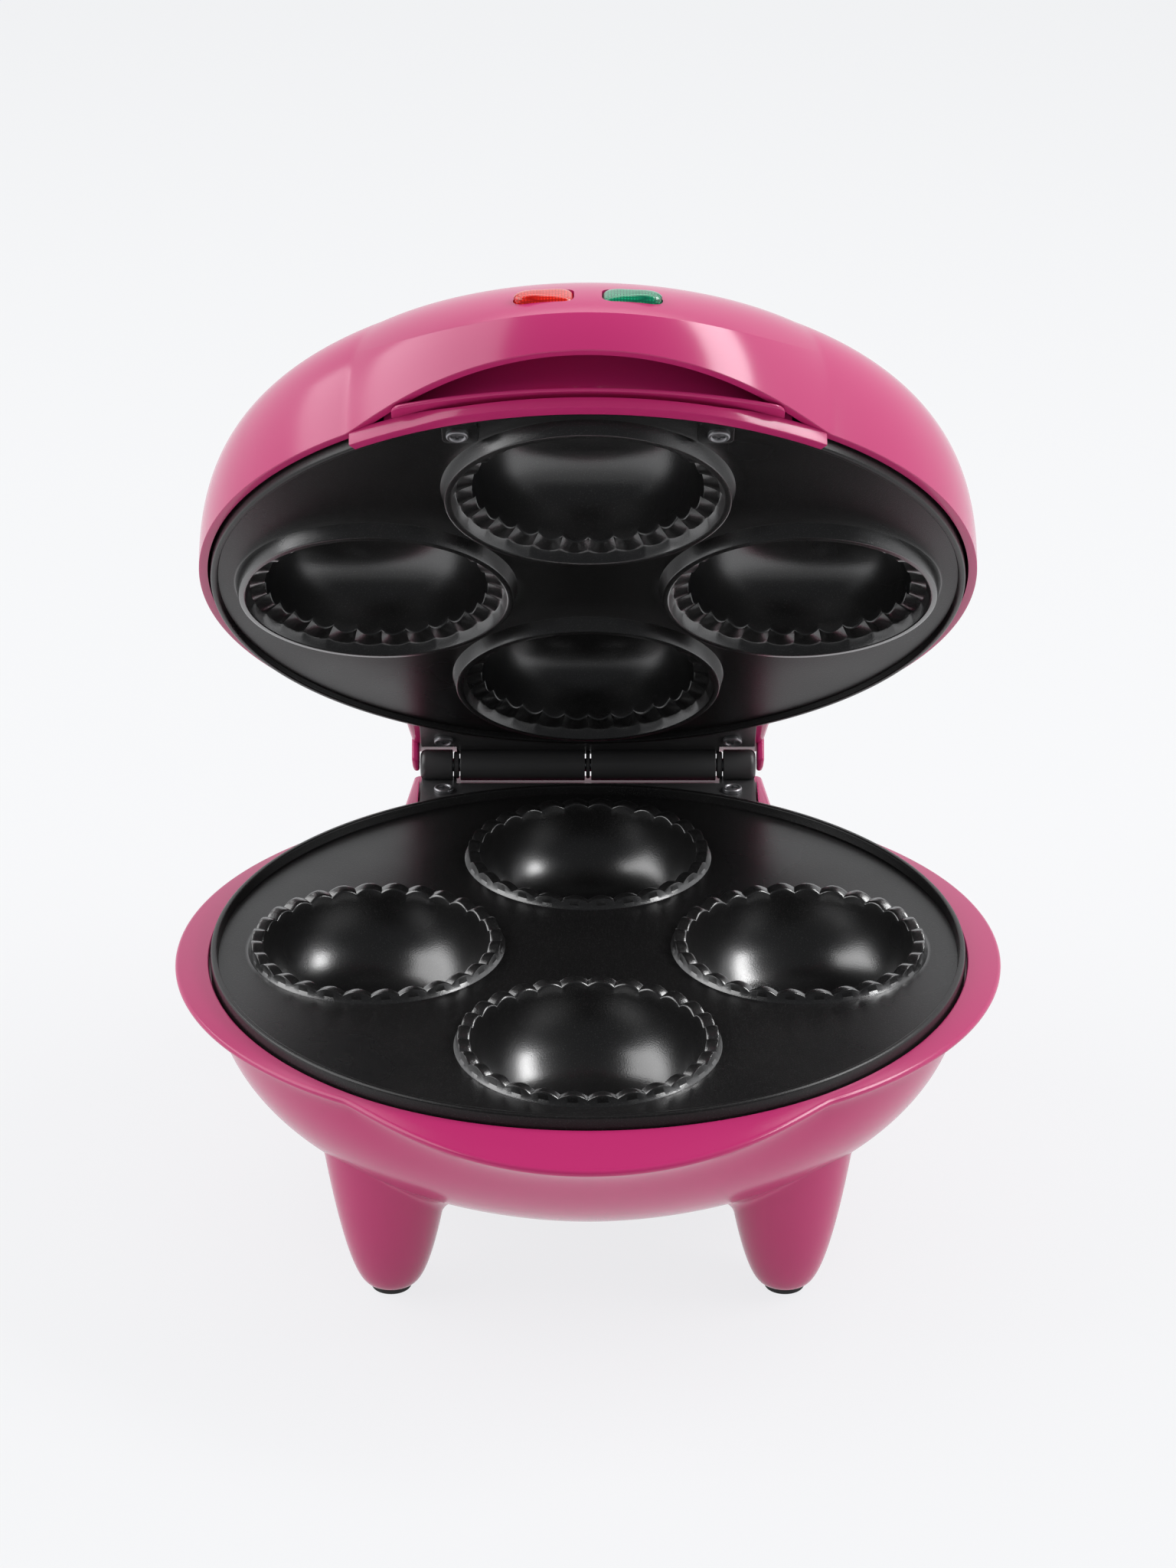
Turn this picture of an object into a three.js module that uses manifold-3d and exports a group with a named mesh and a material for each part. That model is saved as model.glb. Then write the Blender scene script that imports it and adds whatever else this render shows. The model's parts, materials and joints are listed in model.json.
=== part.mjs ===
// Countertop cupcake maker for four cakes: a round moulded housing on four legs, two fluted non-stick plates,
// and a hinged lid with a finger pocket, standing open as the cook leaves it.
// Millimetres, +Z up, front at -Y. The origin is on the table, below the middle of the machine's outline.

import * as THREE from "three";
import { mergeVertices } from "three/addons/utils/BufferGeometryUtils.js";
import Module from "manifold-3d";

const wasm = await Module();
wasm.setup();

// Fits
const seatGap = 0.3; // air left between two pieces that seat on each other
const overrun = 2; // how far a cutting solid runs past the face it cuts

// Whole machine
const lidOpenDegrees = 47.6; // how far the lid stands open
const closedGap = 1; // between the rims of the two plates with the lid down

// Plates
const plateRadius = 105;
const plateThickness = 3;
const plateLipWidth = 2;
const plateLipRound = 0.4;
const lowerLipHeight = 2.8;
const upperLipHeight = 1.6;
const lowerSkirtHeight = 6.5;
const upperSkirtHeight = 9;
const cupCount = 4;
const cupRimGap = 6.6; // from the collar of an upper cup to the edge of the plate
const cupLand = 4.64; // between the collars of two neighbouring upper cups
const cupWall = 2.2;
const fluteCount = 28;

// Lower cups
const lowerCollarStep = 3.5; // how much smaller the lower collar is than the upper one, at the flat
const lowerCollarSlope = 1; // how far the collar leans in between the flat and its top
const lowerRingWidth = 3.2; // crimped ring, from the collar's top to the mouth
const lowerHillHeight = 3.1; // top of the crimps above the flat
const lowerCrimpDepth = 1.4; // hill to valley of a crimp
const lowerCupDepth = 25; // rim of the plate to the floor of a cup
const lowerFloorRadius = 12;

// Upper cups
const upperCollarSlope = 1.1;
const upperCrestWidth = 1.8;
const upperCollarDraft = 1.3; // from the inside edge of the crest to the crimped ring
const upperRingWidth = 4.2;
const upperCollarHeight = 4.1;
const upperStepDepth = 2.7;
const upperBandRise = 1.2;
const upperOuterCrimp = 0.7;
const upperInnerCrimp = 1.7;
const upperCupDepth = 27; // crest of the collar to the crown of a cup
const upperCrownRadius = 10;

// Base shell
const shellWall = 2.4;
const flangeSideWidth = 10; // from the plate to the flange's edge, at the sides
const flangeRearWidth = 1;
const flangeDrop = 3; // flange beside the plate, below the rim
const flangeEdgeDrop = 4; // outer edge of the flange, below the rim
const flangeEdgeThickness = 2;
const lipReach = 14.8; // how far the thumb lip stands out ahead of the flange
const lipDrop = 3.2; // how far the thumb lip dips below the flange's edge
const lipHalfAngle = 36; // degrees each side of the front
const bowlFloorRadius = 48;
const bowlDepth = 55.8; // rim of the plate to the underside of the bowl
const plateShelfWidth = 3.8;
const plateShelfThickness = 2;

// Legs and feet
const legInset = 28.633; // from the plate's edge to the axis of a leg
const legLength = 78; // rim of the plate to the end of a leg
const legFootRadius = 5.9;
const legTopRadius = 16.8;
const legFillet = 6; // soft blend between a leg and the bowl
const footPadHeight = 2;
const footPadRadius = 5.5;
const footPlugRadius = 4;
const footPlugHeight = 1.4;

// Screws in the underside
const wellRadius = 4.35;
const wellInset = 43.5; // from the plate's edge to the axis of a screw well
const wellPostHeight = 11.8; // from the floor of a screw well to the lower reflector
const postRadius = 6.8;
const ventCount = 6;
const ventLength = 18;
const ventWidth = 3;
const ventInnerRadius = 14;

// Lid shell
const lidOverhang = 3.3; // from the plate's edge to the lid's widest
const lidEdgeHeight = 4; // edge of the lid above the lower rim, lid down
const lidHeight = 58.2; // crown of the lid above the lower rim
const browReach = 12.8; // how far the handle hood stands out ahead of the lid
const browHalfAngle = 36; // degrees each side of the front
const browArchRise = 5; // how far the hood's lower edge arches up at the middle
const browCreaseHeight = 22;
const browCreaseRise = 8; // how much higher the crease is at the hood's ends
const seatRibWidth = 3;
const seatRibHeight = 6;
const seatRibGap = 4; // from the rear ribs to the hinge housing

// Handle liner, which closes the back of the finger pocket
const linerHalfAngle = 35.2; // degrees each side of the front
const linerDrop = 1.5; // lower edge of the liner below the lower rim, lid down
const linerBandThickness = 2.8;
const linerBandTop = 3.3;
const linerWallTop = 25; // above the lower rim, lid down
const linerWallThickness = 1.9;
const linerRoofGap = 1.5; // from the wall to the inside of the hood
const gripRibHalfWidth = 51;
const gripRibStep = 5.3; // front of the grip rib ahead of the plate's edge
const gripRibCurve = 165; // radius of the rib's front edge
const gripRibThickness = 1.4;
const gripRibHeight = 3.6;
const gripRibEndRound = 2.1;

// Hinge
const hingeSetback = 13.2; // hinge axis behind the plate's edge
const hingeZ = 0.17;
const barrelRadius = 4.7;
const pinRadius = 2;
const barrelHalfLength = 50.8;
const knuckleLength = 9.8;
const knuckleRound = 1.6;
const knuckleGap = 2.3;
const middleGap = 1.9;
const bracketThickness = 1.6;
const bracketInset = 0.3; // from the end of the barrel to the side of a bracket
const lowerBracketTop = 3.4; // below the lower rim
const upperBracketBottom = 3.7; // above the lower rim
const housingNearReach = 6.9; // half width of the hinge housings past the barrel, where they leave the shell
const housingBackReach = 1.8; // half width of the hinge housings past the barrel, at the back
const hingeHousingBack = 4.1; // behind the hinge axis
const lowerHousingDepth = 17;
const upperHousingDepth = 10;
const housingRound = 2.4;
const cheekTip = 1.5; // how far a lid cheek reaches past the hinge axis
const cheekBack = 0.6; // from the hinge axis to the end of the cheek beside the lower bracket
const hingeScrewInset = 7.3; // from the end of the barrel
const hingeScrewSetback = 11.2; // ahead of the hinge axis

// Screws
const screwHeadRadius = 3.1;
const screwHeadHeight = 2.1;
const screwShankRadius = 1.4;
const screwSlotWidth = 0.9;
const screwSlotLength = 3.6;
const screwSlotDepth = 1.1;
const screwPostRadius = 3.9;
const padScrewInset = 6.54; // from the plate's edge
const padScrewDegrees = 20.2; // each side of the front
const padWidth = 14;
const padLength = 11;
const padHeight = 1;
const shortShank = 8;
const longShank = 12;
const reflectorShank = 10;

// Heating and electrics
const heaterInset = 7; // from the plate's edge to the middle of the tube
const heaterTubeRadius = 3;
const heaterGapDegrees = 84;
const terminalPinRadius = 1.2;
const terminalPinLength = 9;
const reflectorWall = 0.8;
const reflectorInset = 4; // from the plate's edge to the dish's rim
const reflectorRimWidth = 2.3;
const reflectorRimHeight = 1.5;
const reflectorSlopeWidth = 9.45; // of the upper dish
const reflectorSideGap = 3; // from the lower dish's floor to the inside of the bowl
const heaterAir = 0.9; // between the heating element and the dish's rim
const studRadius = 5.5;
const thermostatRadius = 8;
const thermostatHeight = 7;
const thermostatInset = 21; // from the plate's edge
const thermostatBladeLength = 5;
const thermostatBladeWidth = 6;
const thermostatBladeThickness = 0.8;
const fuseRadius = 2;
const fuseLength = 16;
const blockLength = 30;
const blockDepth = 15;
const blockHeight = 11;
const blockBoreRadius = 2.2;
const blockBoreCount = 3;
const blockY = 22;
const glandBore = 3.6;
const glandNeckRadius = 5.6;
const glandFlangeRadius = 7.6;
const glandFlangeThickness = 1.6;
const glandX = 0;

// Lamps
const lampSpacing = 23;
const lampReach = 4.2; // in front of the lid's widest
const lampLength = 15.2;
const lampWidth = 9.6;
const lampNarrowWidth = 5.6;
const lampHeight = 6;
const lampDome = 1.3;
const lampRound = 2.6;
const neonRadius = 1.6;
const neonLength = 8;

// Finishes: colour, roughness and metalness of each material
const magenta = { color: 0xc2357f, roughness: 0.25, metalness: 0 };
const nonStick = { color: 0x17171a, roughness: 0.45, metalness: 0.3 };
const blackSteel = { color: 0x1c1c1e, roughness: 0.4, metalness: 0.6 };
const brightSteel = { color: 0xb9bbbf, roughness: 0.3, metalness: 1 };
const aluminium = { color: 0xa8abb0, roughness: 0.4, metalness: 1 };
const rubber = { color: 0x161616, roughness: 0.85, metalness: 0 };
const ceramic = { color: 0xd9d2c2, roughness: 0.7, metalness: 0 };
const redLens = { color: 0xd01818, roughness: 0.15, metalness: 0 };
const greenLens = { color: 0x0b8f5c, roughness: 0.15, metalness: 0 };
const clearGlass = { color: 0xe6dccb, roughness: 0.1, metalness: 0 };

// Counts of facets and steps
const shellColumns = 48;
const plateColumns = 48;
const roundSides = 10;
const smallSides = 8;
const barrelSides = 16;
const tubeSides = 6;
const heaterSteps = 22;
const legSides = 14;
const crimpSamples = 3; // points round each crimp
const bevelSteps = 2;
const cornerSteps = 3;
const capSteps = 2;
const gripRibSteps = 16;
const plateArcSteps = 8;
const halvings = 30;

// Shares: outlines and spacings as parts of the sizes above
const bowlControlShares = [[1.016, 0.6], [0.745, 0.915]];
const bowlRowShares = [0, 0.06, 0.16, 0.3, 0.48, 0.66, 0.84, 1];
const bowlInnerRowShares = [0.16, 0.32, 0.5, 0.74, 1];
const domeControlShares = [[1.0212, 0.897], [0.7544, 1]];
const domeRowShares = [0.12, 0.25, 0.42, 0.62, 0.82];
const domeInnerRowShares = [0.15, 0.4, 0.7];
const lowerBowlControlShares = [[0.985, 0.55], [0.76, 1]];
const upperDomeControlShares = [[0.99, 0.62], [0.72, 1]];
const cupRowShares = [0, 0.5, 1];
const cupBackRowShares = [1, 0.5];
const legRowShares = [0, 0.1, 0.32, 0.64, 1];
const legSwellShare = 0.52;
const housingNearShare = 0.69; // of the plate's radius, where a hinge housing has run into the shell
const housingSlopeShare = 0.36;
const lipSharpShare = 1.2;
const browFadeShare = 0.42;
const browFadePowerShare = 1.5;
const browRowShares = [0, 0.5, 1];
const creaseInsetShare = 0.02;
const lampStepShare = 0.01;
const lensRowShares = [[1, 0], [0.9, 0.7], [0.6, 1]];
const screwCrownShare = 0.75;
const seatRibTurnShares = [0.14, 0.25]; // of a turn, each side of the front
const reflectorDepthShare = 0.2214; // of the room between the backs of the cups and the housing

const turn = 2 * Math.PI;
const degree = Math.PI / 180;

// Cups: four equal collars fill the plate, with the land between neighbours and the gap to the rim left over.
const neighbourShare = 2 * Math.sin(Math.PI / cupCount);
const cupCircleRadius = (2 * (plateRadius - cupRimGap) + cupLand) / (2 + neighbourShare);
const upperFootRadius = plateRadius - cupRimGap - cupCircleRadius;
const upperCrestRadius = upperFootRadius - upperCollarSlope;
const upperCollarRadius = upperCrestRadius - upperCrestWidth;
const upperStepRadius = upperCollarRadius - upperCollarDraft;
const upperMouthRadius = upperStepRadius - upperRingWidth;
const lowerFootRadius = upperFootRadius - lowerCollarStep;
const lowerCrestRadius = lowerFootRadius - lowerCollarSlope;
const lowerMouthRadius = lowerCrestRadius - lowerRingWidth;

// Places that follow the plate's edge
const flangeHalfWidth = plateRadius + flangeSideWidth;
const flangeHalfDepth = plateRadius + flangeRearWidth;
const bowlRadius = plateRadius - seatGap;
const lidRadius = plateRadius + lidOverhang;
const legSpacing = Math.SQRT2 * (plateRadius - legInset);
const wellCircleRadius = plateRadius - wellInset;
const gripRibReach = plateRadius + gripRibStep;
const heaterRadius = plateRadius - heaterInset;
const thermostatRingRadius = plateRadius - thermostatInset;
const padScrewX = (plateRadius - padScrewInset) * Math.sin(padScrewDegrees * degree);
const padScrewY = (plateRadius - padScrewInset) * Math.cos(padScrewDegrees * degree);
const lampY = lidRadius + lampReach;

// Places that follow the hinge
const hingeY = plateRadius + hingeSetback;
const hingeScrewX = barrelHalfLength - hingeScrewInset;
const hingeScrewY = hingeY - hingeScrewSetback;
const bracketHalfWidth = barrelHalfLength - bracketInset;
const hingeRoom = barrelHalfLength + seatGap;
const housingNear = plateRadius * housingNearShare;
const housingBack = hingeY + hingeHousingBack;
const housingNearHalfWidth = barrelHalfLength + housingNearReach;
const housingBackHalfWidth = barrelHalfLength + housingBackReach;

const v2 = (x, y) => new THREE.Vector2(x, y);
const v3 = (x, y, z) => new THREE.Vector3(x, y, z);

// A point at a radius and height, with its angle counted from the front (-Y) towards +X.
function around(radius, angle, height) {
  return v3(radius * Math.sin(angle), -radius * Math.cos(angle), height);
}

function ring(count, point) {
  return Array.from({ length: count }, (_, i) => point((turn * i) / count));
}

// Closed skin through rings of points, which may differ in count; a ring of one point is a pole.
function skin(rings) {
  const position = [];
  const starts = rings.map((points) => {
    const start = position.length / 3;
    position.push(...points.flatMap((p) => p.toArray()));
    return start;
  });
  const index = [];
  for (let k = 0; k + 1 < rings.length; k++) {
    const n = rings[k].length;
    const m = rings[k + 1].length;
    let i = 0;
    let j = 0;
    while (i < n || j < m) {
      const a = starts[k] + (i % n);
      const b = starts[k + 1] + (j % m);
      const first = j >= m || (i < n && (i + 1) * m <= (j + 1) * n);
      if (first) {
        if (n > 1) index.push(a, starts[k] + ((i + 1) % n), b);
        i++;
      } else {
        if (m > 1) index.push(a, starts[k + 1] + ((j + 1) % m), b);
        j++;
      }
    }
  }
  const geometry = new THREE.BufferGeometry();
  geometry.setAttribute("position", new THREE.Float32BufferAttribute(position, 3));
  geometry.setIndex(index);
  return facingOut(geometry);
}

// Turns the faces over if the closed skin was wound inside out.
function facingOut(geometry) {
  const p = geometry.getAttribute("position");
  const index = geometry.getIndex().array;
  let volume = 0;
  const a = v3(0, 0, 0);
  const b = v3(0, 0, 0);
  const c = v3(0, 0, 0);
  for (let i = 0; i < index.length; i += 3) {
    a.fromBufferAttribute(p, index[i]);
    b.fromBufferAttribute(p, index[i + 1]);
    c.fromBufferAttribute(p, index[i + 2]);
    volume += a.dot(b.cross(c));
  }
  if (volume < 0) geometry.setIndex(Array.from(index).reverse());
  return geometry;
}

function solid(geometry) {
  const bare = new THREE.BufferGeometry();
  bare.setAttribute("position", geometry.getAttribute("position"));
  bare.setIndex(geometry.getIndex());
  const merged = facingOut(mergeVertices(bare));
  return new wasm.Manifold(new wasm.Mesh({
    numProp: 3,
    vertProperties: new Float32Array(merged.getAttribute("position").array),
    triVerts: new Uint32Array(merged.getIndex().array),
  }));
}

function joined(first, ...others) {
  return others.reduce((sum, other) => sum.add(other), first);
}

function cut(first, ...others) {
  return others.reduce((rest, other) => rest.subtract(other), first);
}

function geometryOf(body) {
  const mesh = body.getMesh();
  const geometry = new THREE.BufferGeometry();
  geometry.setAttribute("position", new THREE.Float32BufferAttribute(mesh.vertProperties, 3));
  geometry.setIndex(Array.from(mesh.triVerts));
  geometry.computeVertexNormals();
  return geometry;
}

// Solid turned about Z from a profile of [radius, height] points.
function turned(points, sides) {
  const closed = points[0][0] === 0 ? points : [...points, points[0]];
  const profile = closed.map(([r, z]) => v2(r, z));
  return solid(new THREE.LatheGeometry(profile, sides).rotateX(Math.PI / 2));
}

function post(radius, low, high, sides = roundSides) {
  return turned([[0, low], [radius, low], [radius, high], [0, high]], sides);
}

function box(x0, x1, y0, y1, z0, z1) {
  const geometry = new THREE.BoxGeometry(x1 - x0, y1 - y0, z1 - z0);
  return solid(geometry.translate((x0 + x1) / 2, (y0 + y1) / 2, (z0 + z1) / 2));
}

// Plate of even thickness from an outline in the XY plane, standing on z = low.
function slab(points, low, high) {
  const shape = new THREE.Shape(points.map(([x, y]) => v2(x, y)));
  const geometry = new THREE.ExtrudeGeometry(shape, { depth: high - low, bevelEnabled: false });
  return solid(geometry.translate(0, 0, low));
}

// Solid swept along X from an outline in the YZ plane, with rounded long edges where round is more than zero.
function sideProfile(points, x0, x1, round = 0) {
  const shape = new THREE.Shape(points.map(([y, z]) => v2(y, z)));
  const geometry = new THREE.ExtrudeGeometry(shape, {
    depth: x1 - x0 - 2 * round,
    bevelEnabled: round > 0,
    bevelSize: round,
    bevelThickness: round,
    bevelOffset: -round,
    bevelSegments: bevelSteps,
  });
  geometry.translate(0, 0, x0 + round);
  return solid(geometry.applyMatrix4(new THREE.Matrix4().makeBasis(v3(0, 1, 0), v3(0, 0, 1), v3(1, 0, 0))));
}

function profileCurve(start, controls, end) {
  return new THREE.CubicBezierCurve(v2(...start), v2(...controls[0]), v2(...controls[1]), v2(...end));
}

// Point of a profile moved square to the curve, towards the inside of the bowl or dome.
function insetPoint(curve, share, depth) {
  const p = curve.getPoint(share);
  const t = curve.getTangent(share);
  const side = Math.sign(t.x * p.y - t.y * p.x) || 1;
  return v2(p.x + side * t.y * depth, p.y - side * t.x * depth);
}

// Last share of a profile, from a first one, at which a test that holds at the start still holds.
function lastShare(start, holds) {
  let low = start;
  let high = 1;
  for (let i = 0; i < halvings; i++) {
    const middle = (low + high) / 2;
    if (holds(middle)) low = middle;
    else high = middle;
  }
  return low;
}

const shareAtHeight = (curve, height) => lastShare(0, (share) => curve.getPoint(share).y < height);
const shareAtRadius = (curve, radius) => lastShare(0, (share) => curve.getPoint(share).x > radius);

const scaled = (shares, radius, height) => shares.map(([r, z]) => [r * radius, z * height]);

// Swell of the thumb lip and of the handle hood: one at the front, nothing past the half angle.
function frontSwell(angle, halfAngle) {
  const away = Math.abs(Math.atan2(Math.sin(angle), Math.cos(angle)));
  const share = away / (halfAngle * degree);
  return share < 1 ? Math.cos((share * Math.PI) / 2) ** lipSharpShare : 0;
}

const cupAngles = Array.from({ length: cupCount }, (_, i) => (turn * i) / cupCount);

function atCups(body) {
  return cupAngles.map((angle) => {
    const centre = around(cupCircleRadius, angle, 0);
    return body.translate([centre.x, centre.y, 0]);
  });
}

// Crimps: smooth hills with sharp valleys between them, nothing at a hill and one at a valley.
const crimp = (angle) => 1 - Math.abs(Math.sin((fluteCount * angle) / 2));

function crimpRing(radius, hill, depth) {
  return ring(fluteCount * crimpSamples, (angle) => around(radius, angle, hill + depth * crimp(angle)));
}

const cupRing = (radius, height, count = fluteCount) => ring(count, (angle) => around(radius, angle, height));

const lowerFlat = -lowerLipHeight;
const upperRim = closedGap;
const upperFlat = upperRim + upperLipHeight;
const upperCrest = upperFlat - upperCollarHeight;
const upperCrown = upperCrest + upperCupDepth;

function reflectorDepth(cupBack, housing) {
  return cupBack + (housing - cupBack) * reflectorDepthShare;
}

const lowerReflectorDepth = reflectorDepth(lowerCupDepth + cupWall, bowlDepth - shellWall);
const upperReflectorDepth = reflectorDepth(upperCrown + cupWall, lidHeight - shellWall);
const wellFloor = -lowerReflectorDepth - wellPostHeight;

function lowerCupBody() {
  const hill = lowerFlat + lowerHillHeight;
  const throat = hill - 2 * lowerCrimpDepth;
  const mouth = lowerMouthRadius - seatGap;
  const drop = lowerCupDepth + throat;
  const controls = lowerBowlControlShares.map(([r, z]) => [r * mouth, throat - z * drop]);
  const bowl = profileCurve([mouth, throat], controls, [lowerFloorRadius, -lowerCupDepth]);
  const floor = -lowerCupDepth;
  const backs = cupBackRowShares.map((share) => {
    const p = bowl.getPoint(share);
    const t = bowl.getTangent(share);
    return cupRing(p.x - t.y * cupWall, p.y + t.x * cupWall, fluteCount / 2);
  });
  return solid(skin([
    [v3(0, 0, floor - cupWall)],
    ...backs,
    cupRing(lowerFootRadius, lowerFlat - plateThickness / 2),
    cupRing(lowerFootRadius, lowerFlat),
    crimpRing(lowerCrestRadius, hill, -lowerCrimpDepth),
    crimpRing(lowerMouthRadius, hill, -lowerCrimpDepth),
    ...cupRowShares.map((share) => {
      const p = bowl.getPoint(share);
      return cupRing(p.x, p.y);
    }),
    [v3(0, 0, floor)],
  ]));
}

function upperCupBody() {
  const band = upperCrest + upperStepDepth;
  const throat = band + upperBandRise + upperInnerCrimp + seatGap;
  const mouth = upperMouthRadius - seatGap;
  const rise = upperCrown - throat;
  const controls = upperDomeControlShares.map(([r, z]) => [r * mouth, throat + z * rise]);
  const dome = profileCurve([mouth, throat], controls, [upperCrownRadius, upperCrown]);
  const backs = cupBackRowShares.map((share) => {
    const p = dome.getPoint(share);
    const t = dome.getTangent(share);
    return cupRing(p.x + t.y * cupWall, p.y - t.x * cupWall, fluteCount / 2);
  });
  return solid(skin([
    [v3(0, 0, upperCrown + cupWall)],
    ...backs,
    cupRing(upperMouthRadius + 2 * cupWall, upperFlat + plateThickness),
    cupRing(upperFootRadius, upperFlat + plateThickness - seatGap),
    cupRing(upperFootRadius, upperFlat),
    cupRing(upperCrestRadius, upperCrest),
    cupRing(upperCollarRadius, upperCrest + seatGap),
    crimpRing(upperStepRadius, band, upperOuterCrimp),
    crimpRing(upperMouthRadius, band + upperBandRise, upperInnerCrimp),
    ...cupRowShares.map((share) => {
      const p = dome.getPoint(share);
      return cupRing(p.x, p.y);
    }),
    [v3(0, 0, upperCrown)],
  ]));
}

// Die-cast disc with a raised lip round its edge and a skirt that stands in the housing.
function plateDisc(rim, side, lipHeight, skirtHeight) {
  const flat = rim + side * lipHeight;
  const back = flat + side * plateThickness;
  const skirt = rim + side * skirtHeight;
  const inner = plateRadius - plateLipWidth;
  return turned([
    [0, flat],
    [inner, flat],
    [inner + plateLipRound, rim],
    [plateRadius - plateLipRound, rim],
    [plateRadius, rim + side * plateLipRound],
    [plateRadius, skirt],
    [inner, skirt],
    [inner, back],
    [0, back],
  ], plateColumns);
}

function lowerPlate() {
  const openings = atCups(post(lowerMouthRadius + cupWall / 2, -lowerCupDepth, overrun, fluteCount));
  const depth = lowerReflectorDepth;
  const stud = post(studRadius, -depth + reflectorWall + seatGap, lowerFlat - plateThickness / 2);
  const bore = post(screwShankRadius + seatGap, -depth - overrun, -depth + longShank);
  const disc = cut(plateDisc(0, -1, lowerLipHeight, lowerSkirtHeight), ...openings);
  return cut(joined(disc, ...atCups(lowerCupBody()), stud), bore);
}

const bothSides = (place) => [-1, 1].map(place);

function padOutline() {
  const sides = bothSides((side) => box(
    side * padScrewX - padWidth / 2, side * padScrewX + padWidth / 2,
    -padScrewY - padLength / 2, -padScrewY + padLength / 2,
    upperFlat - padHeight, upperFlat + plateThickness / 2,
  ));
  const within = plateRadius - plateLipWidth;
  const inside = post(within, upperFlat - padHeight - overrun, upperFlat + overrun, plateColumns);
  const clear = atCups(post(upperCollarRadius + seatGap, upperCrest, upperCrown, fluteCount));
  return sides.map((side) => cut(side.intersect(inside), ...clear));
}

function upperPlate() {
  const openings = atCups(post((upperStepRadius + upperFootRadius) / 2, upperCrest, upperCrown, fluteCount));
  const depth = upperReflectorDepth;
  const stud = post(studRadius, upperFlat + plateThickness / 2, depth - reflectorWall - seatGap);
  const bore = post(screwShankRadius + seatGap, depth - longShank, depth + overrun);
  const holes = bothSides((side) => post(screwShankRadius + seatGap, upperCrest, upperCrown)
    .translate([side * padScrewX, -padScrewY, 0]));
  const disc = cut(plateDisc(upperRim, 1, upperLipHeight, upperSkirtHeight), ...openings);
  return cut(joined(disc, ...padOutline(), ...atCups(upperCupBody()), stud), bore, ...holes);
}

// Base shell: flange with thumb lip, bowl, legs and hinge housing
const bowlTop = -(flangeEdgeDrop + flangeEdgeThickness + seatGap);
const bowlCurve = profileCurve(
  [bowlRadius, bowlTop],
  scaled(bowlControlShares, bowlRadius, -bowlDepth),
  [bowlFloorRadius, -bowlDepth],
);

function flangeRadius(angle) {
  const oval = 1 / Math.hypot(Math.sin(angle) / flangeHalfWidth, Math.cos(angle) / flangeHalfDepth);
  return oval + lipReach * frontSwell(angle, lipHalfAngle);
}

const flangeEdge = (angle) => -flangeEdgeDrop - lipDrop * frontSwell(angle, lipHalfAngle);

function bowlHeightAt(radius) {
  return bowlCurve.getPoint(shareAtRadius(bowlCurve, radius)).y;
}

// The bowl swells out to meet the flange's edge, briefly at the sides and in a long sweep below the lip.
function bowlPoint(angle, share) {
  const p = bowlCurve.getPoint(share);
  const swell = frontSwell(angle, lipHalfAngle);
  const reach = flangeRadius(angle) - flangeEdgeThickness - bowlRadius;
  const depth = flangeEdgeThickness + swell * lipReach / 2;
  const top = flangeEdge(angle) - flangeEdgeThickness - seatGap;
  const fall = Math.exp((p.y - bowlTop) / depth);
  return around(p.x + reach * fall, angle, p.y + (top - bowlTop) * fall);
}

function baseOuter() {
  const round = flangeEdgeThickness / 4;
  const seat = plateRadius + 2 * seatGap;
  return solid(skin([
    [v3(0, 0, -flangeDrop)],
    ring(shellColumns, (a) => around(seat - overrun, a, -flangeDrop)),
    ring(shellColumns, (a) => around(flangeRadius(a) - 3 * round, a, flangeEdge(a) + round / 2)),
    ring(shellColumns, (a) => around(flangeRadius(a), a, flangeEdge(a) - round)),
    ring(shellColumns, (a) => around(flangeRadius(a) - round, a, flangeEdge(a) - flangeEdgeThickness)),
    ...bowlRowShares.map((share) => ring(shellColumns, (a) => bowlPoint(a, share))),
    [v3(0, 0, -bowlDepth)],
  ]));
}

function baseInner() {
  const seat = plateRadius + 2 * seatGap;
  const shelf = -(lowerSkirtHeight + seatGap);
  const under = shelf - plateShelfThickness;
  const rows = bowlInnerRowShares.map((share) => insetPoint(bowlCurve, share, shellWall));
  return solid(skin([
    [v3(0, 0, overrun)],
    ring(shellColumns, (a) => around(seat, a, overrun)),
    ring(shellColumns, (a) => around(seat, a, shelf)),
    ring(shellColumns, (a) => around(seat - plateShelfWidth, a, shelf)),
    ring(shellColumns, (a) => around(seat - plateShelfWidth, a, under)),
    ...rows.map((p) => ring(shellColumns / 2, (a) => around(p.x, a, p.y))),
    [v3(0, 0, -bowlDepth + shellWall)],
  ]));
}

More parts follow.
